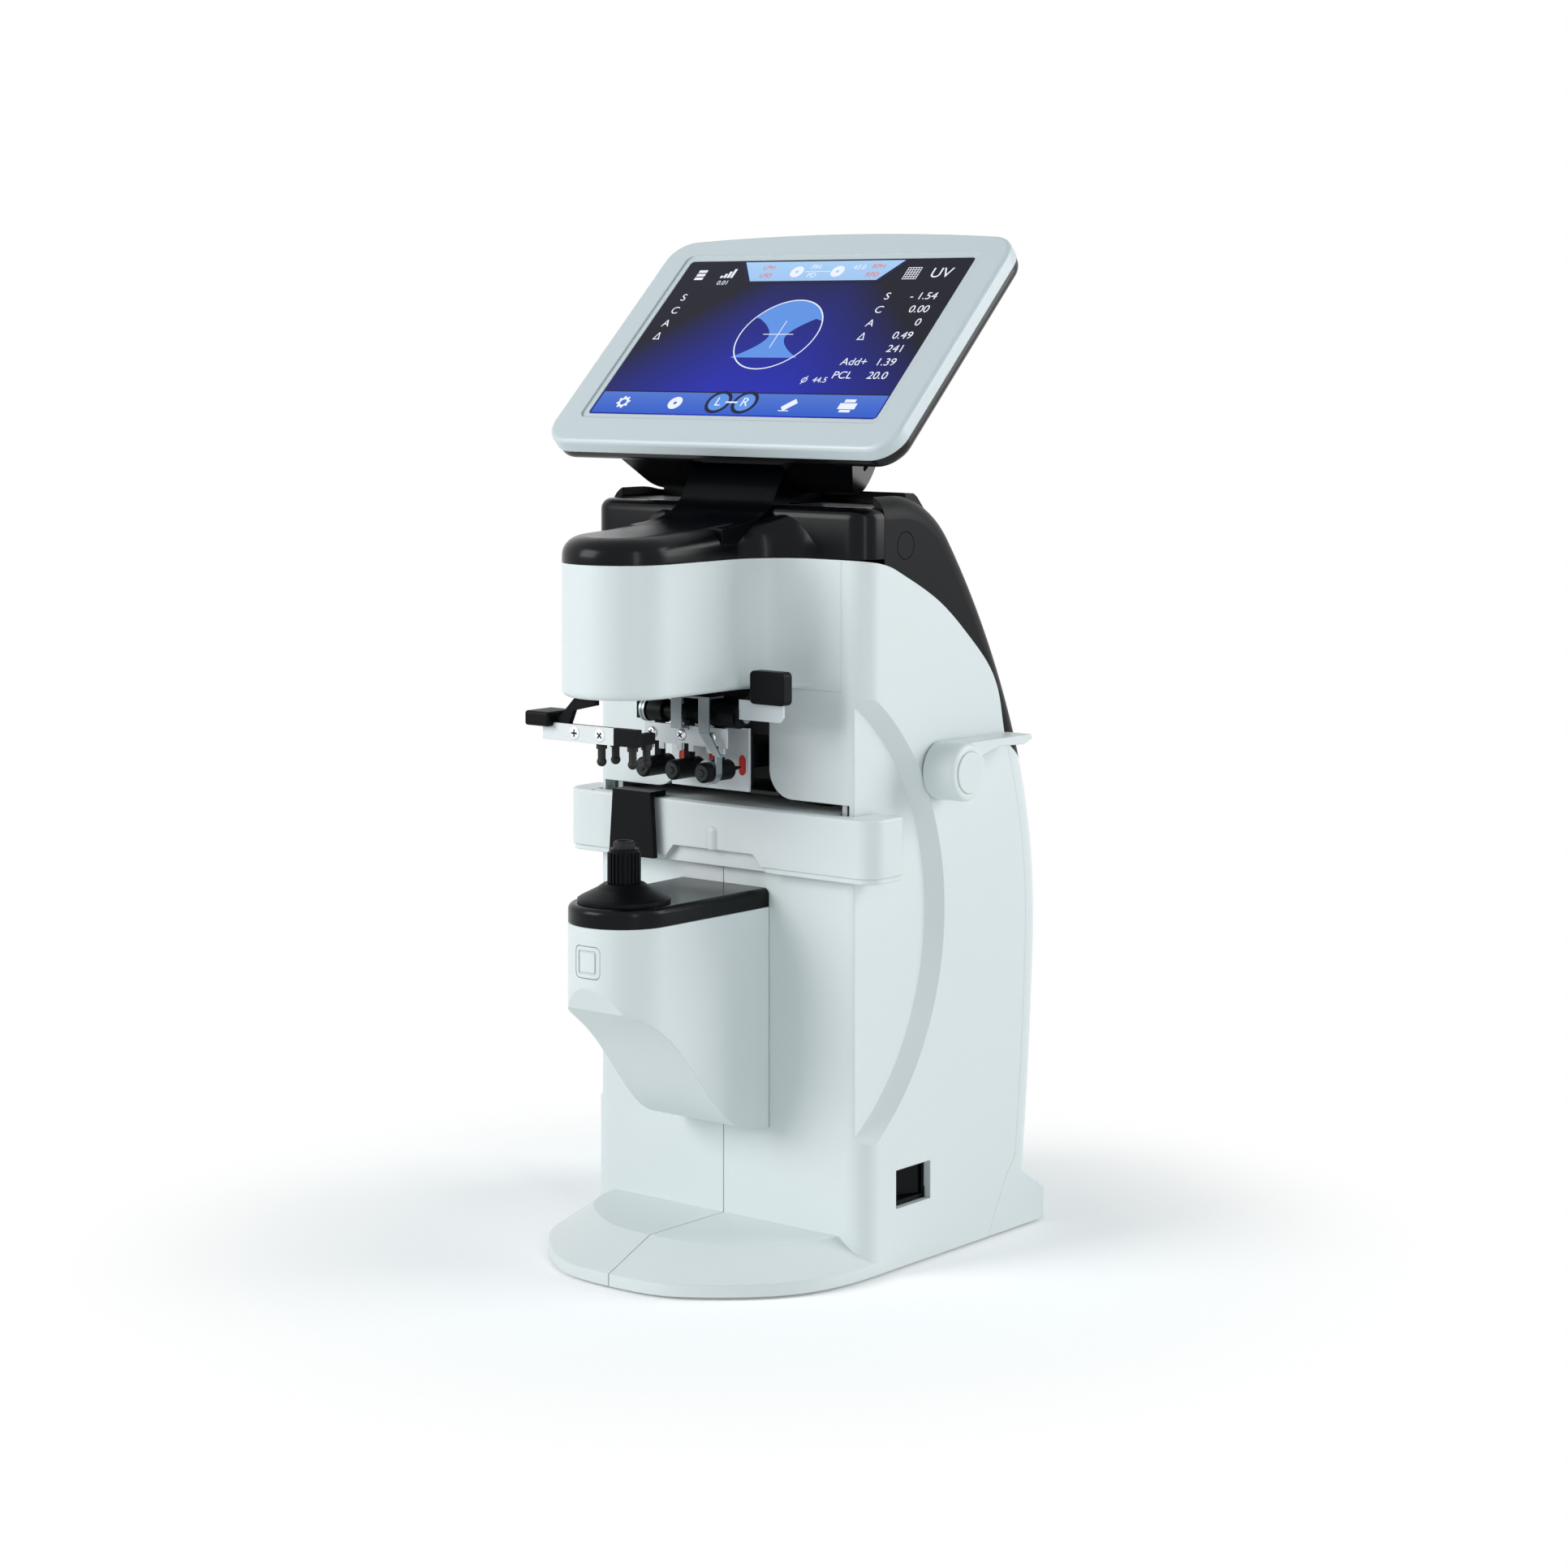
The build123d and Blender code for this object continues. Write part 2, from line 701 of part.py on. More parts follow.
def make_tower_cap():
    """Black cap with a rounded rim and a shallow tray behind the nozzle."""
    z0 = tower_joint_z + 0.2
    cap = tower_form(0, (z0, z0 + tower_cap_h))
    rim = cap.edges().filter_by(lambda e: abs(e.center().Z - z0 - tower_cap_h) < 0.01 and e.center().Y < front_y - 1)
    cap = fillet(rim, 2.6)
    return cap - rod_z(0, axis_y, (z0 - 1, z0 + tower_cap_h + 1), barrel_r + 0.4)


def make_button():
    """Square read button, its face curved to the tower front, with a raised inner pad."""
    skin = rod_z(0, axis_y, (button_z - 20, button_z + 20), tower_r - 0.1)
    skin -= rod_z(0, axis_y, (button_z - 20, button_z + 20), tower_r - wall - 1.0)
    button = skin & button_cut(0)
    groove = (skin - rod_z(0, axis_y, (button_z - 20, button_z + 20), tower_r - 0.6)) & button_cut(-button_frame)
    return button - (groove - button_cut(-button_frame - 0.7))


def make_button_switch():
    y = axis_y - tower_r + wall + 1.8 + button_travel
    return block((-4, 4), (y, y + 4), (button_z - 4, button_z + 4))


def make_nozzle_cone():
    z0 = tower_joint_z + 0.2 + tower_cap_h
    steps = [(cone_r, z0), (cone_r, z0 + 1.6), (cone_r - 1.2, z0 + 2.4), (cone_r - 7.6, z0 + 5.6),
             (cone_r - 10.4, z0 + cone_h), (cone_r - 11.4, z0 + cone_h)]
    outline = [(nozzle_r - nozzle_rib, z0)] + steps + [(nozzle_r - nozzle_rib, z0 + cone_h)]
    face = make_face(Polyline(*outline, close=True))
    return Pos(0, axis_y, 0) * revolve(Plane.XZ * face, Axis.Z)


def make_nozzle():
    """Ribbed lens nozzle that the lens rests on."""
    z0 = tower_joint_z + 0.2 + tower_cap_h + cone_h
    outer = rod_z(0, axis_y, (z0, nozzle_top_z), nozzle_r - nozzle_rib)
    for i in range(nozzle_rib_count):
        angle = 360.0 / nozzle_rib_count * i
        rib = Pos(nozzle_r - nozzle_rib, 0, (z0 + nozzle_top_z - 1.5) / 2) * Box(2 * nozzle_rib, 0.8, nozzle_top_z - 1.5 - z0)
        outer += Pos(0, axis_y, 0) * Rot(0, 0, angle) * rib
    stem = rod_z(0, axis_y, (z0 - cone_h, z0 + 1), nozzle_r - nozzle_rib - 0.1)
    outer += stem
    return outer - rod_z(0, axis_y, (0, 300), seat_bore_r + 0.8)


def make_nozzle_seat():
    ring = rod_z(0, axis_y, (nozzle_top_z, nozzle_top_z + seat_h), seat_r)
    ring = chamfer(ring.edges().group_by(Axis.Z)[-1], 0.6)
    return ring - rod_z(0, axis_y, (0, 300), seat_bore_r)


# Lens table

def table_plan(grow):
    outer_depth = table_wing_end_y - table_y
    plan = Pos(0, table_y - grow) * Rectangle(2 * (table_half + grow), outer_depth + grow, align=(Align.CENTER, Align.MIN))
    front = plan.vertices().filter_by(lambda v: v.Y < table_y + 2)
    plan = fillet(front, table_corner_r + grow)
    inner = Pos(0, table_y + table_thick) * Rectangle(2 * table_wing_inner, 100, align=(Align.CENTER, Align.MIN))
    return plan - inner


def make_lens_table():
    """Spectacle table, wrapped round the column, with a scallop and a centre ridge."""
    top = table_z + table_h
    table = Pos(0, 0, table_z + 2.2) * extrude(table_plan(0), amount=table_h - 2.2)
    upper = table.edges().filter_by(lambda e: abs(e.center().Z - top) < 0.01 and not e.is_interior)
    table = fillet([e for e in upper if e.center().Y < table_y + 4 or abs(e.center().X) > table_half - 4], 1.2)
    table += Pos(0, 0, table_z) * extrude(table_plan(-0.8), amount=2.2)
    scallop = make_face(Polyline((-scallop_base_half, table_z - 1), (-scallop_top_half, table_z + scallop_h),
                                 (scallop_top_half, table_z + scallop_h), (scallop_base_half, table_z - 1), close=True))
    table -= Pos(0, table_y - 1, 0) * extrude(Plane.XZ * scallop, amount=-(scallop_depth + 1))
    ridge_low = table_z + scallop_h
    ridge = rod_z(0, table_y + 1.2, (ridge_low, ridge_low + 7.5), 2.6) + Pos(0, table_y + 1.2, ridge_low + 7.5) * Sphere(2.6)
    table += ridge & block((-5, 5), (table_y - 5, table_y + 2), (0, 300))
    table -= block((-carrier_half - 0.1, carrier_half + 0.1), (carrier_front_y, 0), (top - carrier_t, top + 1))
    table -= block((-table_half + 14, table_half - 14), (pd_groove_y - 1.0, pd_groove_y + 1.0), (top - 3, top + 1))
    for x in (-rail_x, rail_x):
        table -= rod_y(x, (table_y + 2.0, 0), rail_z, rail_r)
    return table


def make_table_carrier():
    top = table_z + table_h
    carrier = block((-carrier_half, carrier_half), (carrier_front_y, carrier_rear_y), (top - carrier_t, top))
    notch = (sector_x - sector_w - 1.5, sector_x + sector_w + 1.5)
    return carrier - block(notch, (front_y + wall + 14, carrier_rear_y + 1), (top - 10, top + 10))


def make_table_rails():
    rails = Part()
    for x in (-rail_x, rail_x):
        rails += rod_y(x, (table_y + 2.0, table_y + 2.0 + rail_length), rail_z, rail_r)
    return rails


def make_table_rack():
    """Toothed bar fixed to the back of the table."""
    y0 = table_y + table_thick
    bar = block((sector_x - 2.5, sector_x + 2.5), (y0, rack_rear_y), (rack_z - 6, rack_z - tooth_h / 2))
    tip = tooth_h / 2 - tip_play
    tooth = [(-tooth_w(-1) / 2, -tooth_h / 2), (tooth_w(-1) / 2, -tooth_h / 2), (tooth_w(1) / 2, tip),
             (-tooth_w(1) / 2, tip)]
    for i in range(-1, rack_teeth):
        y = lever_y + (i + 0.5) * tooth_pitch
        points = [(y + dy, rack_z + dz) for dy, dz in tooth]
        bar += side_polygon(points, (sector_x - 2.5, sector_x + 2.5))
    return bar


def tooth_w(level):
    """Tooth width at the root (-1), the pitch line (0) or the tip (1)."""
    return tooth_pitch / 2 - tooth_play - level * 0.45


# Lever

def make_gear_sector():
    """Toothed quadrant that drives the rack under the lever shaft."""
    root = pitch_r - tooth_h / 2
    half = (sector_x - sector_w / 2, sector_x + sector_w / 2)
    disc = rod_x(half, lever_y, lever_z, root)
    first, last = -12.0, lever_swing + 12.0
    wedge = [(0, 0)]
    for i in range(7):
        angle = math.radians(first + (last - first) * i / 6)
        wedge.append((math.sin(angle) * root * 1.6, -math.cos(angle) * root * 1.6))
    sector = disc & side_polygon([(lever_y + y, lever_z + z) for y, z in wedge], half)
    tip = root + tooth_h - tip_play
    tooth = [(-tooth_w(-1) / 2, -root + 0.4), (tooth_w(-1) / 2, -root + 0.4), (tooth_w(1) / 2, -tip),
             (-tooth_w(1) / 2, -tip)]
    pitch_angle = math.degrees(tooth_pitch / pitch_r)
    shape = side_polygon([(y, z) for y, z in tooth], half)
    count = int((last - first) / pitch_angle) - 1
    for i in range(count):
        angle = pitch_angle * (i - 1)
        sector += Pos(0, lever_y, lever_z) * Rot(angle, 0, 0) * shape
    sector += rod_x((half[0] - 3, half[1] + 3), lever_y, lever_z, shaft_r + 4)
    return sector - rod_x((0, 100), lever_y, lever_z, shaft_r)


def make_lever_shaft():
    return rod_x((-cheek_x - 2, knob_x + 6), lever_y, lever_z, shaft_r)


def make_side_lever():
    """Round knob with a flat arm that runs to the rear."""
    end = knob_x + knob_w
    knob = rod_x((knob_x, end), lever_y, lever_z, knob_r)
    knob = fillet(knob.edges().filter_by(lambda e: abs(e.center().X - end) < 0.01), 2.2)
    top = lever_z + knob_r - 0.2
    arm = [(lever_y - 2, top), (lever_arm_end_y - 1, top - 0.4), (lever_arm_end_y, top - 2.2),
           (lever_arm_end_y - 6, top - 4.2), (lever_y + 24, top - 3.4), (lever_y + 13, top - 6), (lever_y, top - 12)]
    blade = side_polygon(arm, (knob_x + 0.6, end - 2.4))
    lever = knob + blade
    lever -= rod_x((end - 0.8, end + 1), lever_y, lever_z, cap_disc_r + 0.1)
    return lever - rod_x((knob_x - 1, knob_x + 6), lever_y, lever_z, shaft_r)


def make_lever_cap():
    end = knob_x + knob_w
    disc = rod_x((end - 0.8, end + 0.6), lever_y, lever_z, cap_disc_r)
    return fillet(disc.edges().filter_by(lambda e: e.center().X > end), 0.5)


# Pupil distance slider

def make_pd_slider():
    """Hook that hangs over the table front and slides along its groove."""
    top = table_z + table_h + 0.3
    front = table_y - pd_gap - pd_wall
    face = make_face(Polyline((-pd_base_half, table_z + 1), (pd_base_half, table_z + 1), (pd_top_half, top + 2.2),
                              (-pd_top_half, top + 2.2), close=True))
    plate = Pos(pd_x, front, 0) * extrude(Plane.XZ * face, amount=-pd_wall)
    roof = block((pd_x - pd_top_half, pd_x + pd_top_half), (front, carrier_front_y + 1.6), (top, top + 2.2))
    tongue = block((pd_x - pd_top_half + 2, pd_x + pd_top_half - 2), (pd_groove_y - 0.7, pd_groove_y + 0.7), (top - 2.6, top))
    return plate + roof + tongue


# Presser

def make_presser_plate():
    z = presser_z
    front = presser_front_y
    plate = block((presser_left, presser_plate_end), (front, front + plate_t), (z, z + presser_h))
    left = plate.edges().filter_by(Axis.Y).filter_by(lambda e: e.center().X < presser_left + 1 and e.center().Z > z + 1)
    return chamfer(left, 1.2)


def make_presser_block():
    """Black cross bar with two pin arms, hung from a carrier that arches over the marking pens."""
    z = presser_z
    y0 = presser_front_y + plate_t
    y1 = axis_y - 5.0
    block_body = block((presser_left + 1, presser_right), (y0, y1), (z, z + presser_h))
    block_body += block((presser_plate_end + 0.1, presser_right), (presser_front_y, y1), (z, z + presser_h))
    for side in (-1, 1):
        x = side * pin_dx
        block_body += block((x - pin_arm_half, x + pin_arm_half), (y0, axis_y + pin_dy + 3), (z, z + presser_h))
    root = z + presser_h - 0.2
    under = nose_floor_z - 0.5
    plate_z = z + carrier_rise
    lip = make_face(Polyline((carrier_left, root), (carrier_left + 6, root), (carrier_left + 9.5, z + 12.5),
                             (guide_x + 5, z + 15.2), (guide_x + 5, under), (guide_x - 5, under),
                             (carrier_left + 2, z + 9.5), (carrier_left, z + 8.0), close=True))
    block_body += Pos(0, y0, 0) * extrude(Plane.XZ * lip, amount=-carrier_lip)
    side = make_face(Polyline((carrier_left, root), (carrier_left + 6, root), (carrier_left + 6, plate_z),
                              (guide_x + 5, plate_z), (guide_x + 5, under), (guide_x - 5, under),
                              (carrier_left + 2, z + 9.5), (carrier_left, z + 8.0), close=True))
    block_body += Pos(0, y0, 0) * extrude(Plane.XZ * side, amount=-(guide_ys[-1] + 4 - y0))
    behind_guides = guide_ys[-1] - 2.0
    block_body -= block((carrier_left - 1, guide_x - 6), (behind_guides, behind_guides + 20), (0, under - 2))
    for y in guide_ys:
        block_body -= rod_z(guide_x, y, (plate_z + 0.5, 300), guide_r)
    return block_body


def make_presser_guides():
    guides = Part()
    for y in guide_ys:
        guides += rod_z(guide_x, y, (presser_z + carrier_rise + 0.5, floor_z + floor_t + 42), guide_r)
    return guides


def make_presser_pins():
    """Four soft-tipped pins that hold the lens."""
    pins = Part()
    root = presser_z
    for sx in (-1, 1):
        for sy in (-1, 1):
            x, y = sx * pin_dx, axis_y + sy * pin_dy
            pin = rod_z(x, y, (root - 2.2, root), pin_r + 0.2) + rod_z(x, y, (pin_tip_z + pin_r, root - 2.2), pin_r - 0.4)
            pin += Pos(x, y, pin_tip_z + pin_r) * Sphere(pin_r)
            pins += pin
    return pins


def make_presser_grip():
    z = presser_z + presser_h
    grip = block((presser_left - 7, presser_left + 6), (presser_front_y - 3.5, presser_front_y + 12.5), (z + 1, z + 7))
    grip = fillet(grip.edges(), 1.2)
    return grip - block((presser_left - 20, 0), (presser_front_y + plate_t - 0.1, 0), (0, z + 1))


def screw_head(x, y, z, radius, height):
    """Pan head with a cross recess, facing forwards."""
    head = rod_y(x, (y - height, y), z, radius)
    head = fillet(head.edges().filter_by(lambda e: e.center().Y < y - height + 0.01), height * 0.45)
    for turn in (45, -45):
        head -= Pos(x, y - height, z) * Rot(0, turn, 0) * Box(radius * 1.3, height * 0.9, radius * 0.28)
    return head


def make_presser_screws():
    screws = Part()
    for x in presser_screw_x:
        screws += screw_head(x, presser_front_y, presser_z + presser_h / 2 + 0.6, 2.0, 0.5)
    return screws


# Marker

def make_marker_carriage():
    """Slanted carriage: two guide rods, a cross bar and two ears that hold the shaft."""
    bar = block((ear_left, ear_right), (marker_y + 8, marker_y + 12), (marker_z + 7, marker_z + 10))
    for x0 in (ear_left, ear_right - ear_t):
        ear = side_polygon([(marker_y - 4, marker_z - 3.5), (marker_y + 3, marker_z - 3.5), (marker_y + 12, marker_z + 7),
                            (marker_y + 12, marker_z + 10), (marker_y + 6, marker_z + 10), (marker_y - 4, marker_z + 3.5)],
                           (x0, x0 + ear_t))
        bar += ear
    for x in (-carriage_rod_x, carriage_rod_x):
        rod = Cylinder(carriage_rod_r, carriage_rod_length, align=(Align.CENTER, Align.CENTER, Align.MIN))
        bar += carriage_place() * Pos(x, 0, 0) * rod
    return bar - rod_x((-90, 90), marker_y, marker_z, marker_shaft_r)


def make_marker_shaft():
    return rod_x((ear_left - 1.5, ear_right + 1.5), marker_y, marker_z, marker_shaft_r)


def make_shaft_rings():
    rings = rod_x((ear_left + ear_t + 0.2, ear_left + ear_t + 1.4), marker_y, marker_z, 5.0)
    rings += rod_x((ear_left + ear_t + 1.8, ear_left + ear_t + 3.0), marker_y, marker_z, 5.0)
    return rings - rod_x((-90, 90), marker_y, marker_z, marker_shaft_r)


def make_marker_lever():
    """Bent sheet bar from the carriage to the marking grip on the right."""
    y = marker_y - 2
    bar = block((ear_right, 51.9), (y - 1.2, y), (marker_z - 0.5, marker_z + 7.5))
    bar -= rod_x((ear_right - 1, ear_right + 2), marker_y, marker_z, marker_shaft_r + 0.2)
    corner = bar.edges().filter_by(Axis.Y).filter_by(lambda e: e.center().X > 50 and e.center().Z < marker_z + 1)
    return chamfer(corner, 2.0)


def make_marker_grip():
    y = marker_y - 2
    grip = block((36.3, 54.0), (y - 3.6, y + 2.4), (marker_z + 6.5, marker_z + 20))
    grip = fillet(grip.edges().filter_by(Axis.Y), 2.0)
    grip = fillet(grip.edges(), 0.8)
    return grip - block((30, 52.2), (y - 1.2, y), (marker_z, marker_z + 7.5))


def make_pen_hub():
    """Black sleeve that turns on the shaft, with a large spring collar on the right."""
    hub = rod_x((hub_left, 14.2), marker_y, marker_z, 3.4)
    hub += rod_x((hub_left, hub_left + 7.5), marker_y, marker_z, 4.8)
    hub += rod_x((14.2, hub_right), marker_y, marker_z, 4.8)
    for i in range(3):
        x = (i - 1) * pen_pitch
        hub += block((x - 1.6, x + 1.6), (marker_y - 1.6, marker_y + 1.6), (pen_z, marker_z - 2.8))
        hub -= rod_y(x, (pen_front_y, pen_front_y + pen_length + 1), pen_z, pen_r)
    return hub - rod_x((-90, 90), marker_y, marker_z, marker_shaft_r + shaft_fit)


def make_pen(index):
    """Marking pen: round barrel with a stepped tail and a pointed tip."""
    x = (index - 1) * pen_pitch
    rear = pen_front_y + pen_length
    pen = rod_y(x, (pen_front_y + 0.8, rear), pen_z, pen_r)
    pen = chamfer(pen.edges().filter_by(GeomType.CIRCLE), 0.6)
    pen += rod_y(x, (pen_front_y, pen_front_y + 1.0), pen_z, 1.2)
    cone_len = pen_tip_y - rear
    cone = Pos(x, rear + cone_len / 2, pen_z) * Rot(-90, 0, 0) * Cone(1.7, 0.3, cone_len)
    return pen + cone


def make_comb_bracket():
    """White plate that clamps the three pen arms, notched for each."""
    y = marker_y - 1.7
    plate = block((-22, 22), (y - comb_t, y), (marker_z - 13, marker_z - 5))
    for i in range(3):
        x = (i - 1) * pen_pitch
        plate += block((x - 4.5, x + 4.5), (y - comb_t, y), (marker_z - 15.5, marker_z - 12.9))
        plate -= block((x - 1.9, x + 1.9), (y - comb_t - 1, y + 1), (marker_z - 17, marker_z - 12.3))
    return plate


def make_bracket_screws():
    screws = Part()
    for i in range(3):
        screws += screw_head((i - 1) * pen_pitch - 1.6, marker_y - 1.7 - comb_t, marker_z - 9.0, 2.1, 1.3)
    return screws


def make_saddle():
    """Polished strap bent in a U over the shaft and screwed to the comb bracket."""
    t = 0.9
    y0 = marker_y - 1.7 - comb_t
    left, right = -3.4, 11.4
    strap = block((left, left + 5.6), (y0 - 5.0, y0 - 5.0 + t), (marker_z - 5.8, marker_z + 8))
    strap += block((left, left + 5.6), (y0 - 5.0, y0), (marker_z - 5.8, marker_z - 5.8 + t))
    strap += block((left, left + 5.6), (y0 - t, y0), (marker_z - 6.6, marker_z - 5.0))
    strap += block((left, right + 5.6), (y0 - 5.0, marker_y + 1.5), (marker_z + 8 - t, marker_z + 8))
    strap += block((right, right + 5.6), (y0 - 5.0, y0 - 5.0 + t), (marker_z - 6.5, marker_z + 8))
    return strap


def make_pen_link():
    """Bent steel arm from the strap down to the right pen."""
    x = pen_pitch
    t = 0.9
    y0 = marker_y - 1.7 - comb_t - 5.0
    upper = make_face(Polyline((x - 4.5, marker_z - 6.6), (x + 1.0, marker_z - 6.6), (x + 7.0, marker_z - 15.5),
                               (x + 3.2, marker_z - 15.5), close=True))
    link = Pos(0, y0, 0) * extrude(Plane.XZ * upper, amount=-t)
    side = x + pen_r
    link += block((side, x + 7.0), (y0, y0 + 3.6), (marker_z - 16.0, marker_z - 15.1))
    link += block((side, side + t), (y0, y0 + 3.6), (pen_z, marker_z - 15.1))
    link += rod_y(x, (y0, y0 + 3.6), pen_z, pen_r + t)
    return link - rod_y(x, (y0 - 1, y0 + 5), pen_z, pen_r)


def make_ink_plate():
    """White plate with an oval window in front of each ink pad."""
    plate = block((-ink_half - 2.6, ink_half), (ink_y, ink_y + 1.5), (ink_z, ink_z + ink_h))
    return plate - ink_ovals((ink_y - 1, ink_y + 3), 2.0)


def ink_ovals(y_range, radius):
    face = SlotOverall(8.4 - 2 * (2.0 - radius), 2 * radius, rotation=90)
    ovals = Part()
    for i in range(3):
        x = (i - 1) * pen_pitch
        ovals += Pos(x, y_range[0], pen_z + 0.7) * Rot(90, 0, 0) * extrude(face, amount=-(y_range[1] - y_range[0]))
    return ovals


def make_ink_pads():
    return ink_ovals((ink_y + 0.4, ink_y + 1.5), 1.95)


def make_ink_holder():
    """Block that carries the ink plate from the back wall of the opening."""
    holder = block((-ink_half, ink_half - 2), (ink_y + 1.5, ink_y + 5.6), (ink_z + 2, ink_z + ink_h - 3))
    holder += block((-12, 12), (ink_y + 5.6, floor_rear_y - liner_wall), (ink_z + 8, ink_z + 18))
    return holder


# Screen, modelled flat with the lower edge of the picture on X, then tilted

def screen_place():
    t = math.radians(screen_tilt)
    along = Vector(0, math.cos(t), math.sin(t))
    out = Vector(0, -math.sin(t), math.cos(t))
    origin = Vector(0, tilt_y, tilt_z) - along * lcd_axis_u + out * lcd_axis_gap
    return Plane(origin=origin, x_dir=(1, 0, 0), z_dir=out).location


def screen_face(inset):
    half = bezel_half - inset
    low = bezel_bottom + inset
    high = bezel_top - inset
    edge = Polyline((-half, high - 4.5), (-half, low), (half, low), (half, high - 4.5))
    arch = ThreePointArc((half, high - 4.5), (0, high), (-half, high - 4.5))
    face = make_face(edge + arch)
    return fillet(face.vertices(), bezel_corner_r - inset)


def make_screen_bezel():
    bezel = Pos(0, 0, -bezel_t) * extrude(screen_face(0), amount=bezel_t + 0.6)
    front = bezel.edges().filter_by(lambda e: abs(e.center().Z - 0.6) < 0.01)
    bezel = fillet(front, 2.0)
    mid = lcd_h / 2
    window = Pos(0, mid, -bezel_t - 1) * extrude(RectangleRounded(2 * lcd_half + 2, lcd_h + 2, 2.0), amount=bezel_t + 3)
    step = Pos(0, mid, -0.2) * extrude(RectangleRounded(2 * lcd_half + 8, lcd_h + 8, 4.0), amount=2)
    pocket = Pos(0, mid, -bezel_t - 1) * extrude(RectangleRounded(2 * lcd_half + 14, lcd_h + 14, 4.0), amount=bezel_t - 1.6)
    return screen_place() * (bezel - window - step - pocket)


def make_touch_glass():
    glass = Pos(0, lcd_h / 2, -1.5) * extrude(RectangleRounded(2 * lcd_half + 1.8, lcd_h + 1.8, 1.8), amount=1.0)
    return screen_place() * glass


def make_lcd_panel():
    panel = Pos(0, lcd_h / 2, -5.0) * extrude(RectangleRounded(2 * lcd_half + 13, lcd_h + 13, 3.0), amount=2.4)
    return screen_place() * panel


def make_screen_board():
    board = Pos(20, lcd_h / 2, -8.6) * Box(90, 60, 1.6, align=(Align.CENTER, Align.CENTER, Align.MIN))
    for i in range(4):
        board += Pos(-8 + i * 18, lcd_h / 2 + 6, -9.8) * Box(9, 9, 1.2, align=(Align.CENTER, Align.CENTER, Align.MIN))
    return screen_place() * board


def lug_form(x_range):
    """One side of the moving half of the screen hinge, tapered at its outer end."""
    back = -bezel_t - back_t + 1.0
    x0, x1 = x_range
    web = block((x0, x1), (lcd_axis_u - knuckle_r, lcd_axis_u + knuckle_r + 16), (-lcd_axis_gap, back))
    slope = side_polygon([(lcd_axis_u + knuckle_r, -lcd_axis_gap - 1), (lcd_axis_u + knuckle_r + 17, -lcd_axis_gap - 1),
                          (lcd_axis_u + knuckle_r + 17, back - 0.6)], (x0 - 1, x1 + 1))
    lug = web - slope + rod_x(x_range, lcd_axis_u, -lcd_axis_gap, knuckle_r)
    low = -lcd_axis_gap - knuckle_r - 1
    taper = make_face(Polyline((x1 + 1, back + 1), (x1 - 0.5, back - 4), (x1 - 15, low), (x1 + 1, low), close=True))
    return lug - Pos(0, -60, 0) * extrude(Plane.XZ * taper, amount=-140)


def make_screen_back():
    """Black back shell with the two hinge lugs."""
    low = -bezel_t - back_t
    back = Pos(0, 0, low) * extrude(screen_face(0.6), amount=back_t)
    edge = back.edges().filter_by(lambda e: abs(e.center().Z - low) < 0.01)
    back = fillet(edge, 4.0)
    hollow = Pos(0, lcd_h / 2, low + 2) * extrude(RectangleRounded(2 * lcd_half + 14, lcd_h + 14, 4.0), amount=back_t)
    back -= hollow
    right = lug_form((knuckle_half + knuckle_gap, lug_end))
    back += right + mirror_x(right)
    return screen_place() * (back - rod_x((-90, 90), lcd_axis_u, -lcd_axis_gap, hinge_pin_r + shaft_fit))


# Power

def make_switch_body():
    """Switch frame sunk in the square recess."""
    w, h = switch_w - 0.3, switch_h - 0.3
    x0 = half_width - 22
    frame = block((x0, half_width - 3.2), (switch_y - w / 2, switch_y + w / 2), (switch_z - h / 2, switch_z + h / 2))
    frame -= block((x0 + 6, half_width), (switch_y - w / 2 + 1.6, switch_y + w / 2 - 1.6),
                   (switch_z - h / 2 + 1.6, switch_z + h / 2 - 1.6))
    return frame - rod_z(rocker_x, switch_y, (switch_z - h / 2 + 0.4, switch_z + h / 2 - 0.4), rocker_pin_r + 0.1)


def make_switch_rocker():
    """Rocker that tips about two round pins in the walls of its frame."""
    half = switch_w / 2 - 2.65
    h = switch_h - 4.4
    points = [(3.2, -half), (1.6, 0), (4.8, half), (-3.0, half - 2), (-5.5, 0), (-3.0, 2 - half)]
    face = make_face(Polyline(*[(rocker_x + x, switch_y + y) for x, y in points], close=True))
    rocker = Pos(0, 0, switch_z - h / 2) * extrude(face, amount=h)
    return rocker + rod_z(rocker_x, switch_y, (switch_z - h / 2 - 1.4, switch_z + h / 2 + 1.4), rocker_pin_r)


def make_power_inlet():
    w, h = inlet_w - 0.3, inlet_h - 0.3
    y1 = rear_wall_y + 0.5
    body = block((inlet_x - w / 2, inlet_x + w / 2), (y1 - 18, y1), (inlet_z - h / 2, inlet_z + h / 2))
    body -= block((inlet_x - w / 2 + 2, inlet_x + w / 2 - 2), (y1 - 15, y1 + 1),
                  (inlet_z - h / 2 + 2, inlet_z + h / 2 - 2))
    pins = Part()
    for dx, dz in ((-7, -1.5), (0, 2.0), (7, -1.5)):
        x, z = inlet_x + dx, inlet_z + dz
        pins += block((x - 1, x + 1), (y1 - 15, rear_wall_y - 7), (z - 2, z + 2))
    return Compound([body, *pins.solids()])


def make_main_board():
    y = chassis_y - 4
    board = block((-46, 46), (y, y + 1.6), (78, 150))
    for i in range(4):
        for j in range(3):
            board += block((-38 + i * 20, -28 + i * 20), (y - 1.4, y), (86 + j * 20, 96 + j * 20))
    return board


def make_power_board():
    y = chassis_y - 10
    board = block((-46, 46), (y, y + 1.6), (16, 70))
    board += rod_y(-26, (y - 14, y), 46, 8) + block((0, 30), (y - 18, y), (28, 58))
    return board


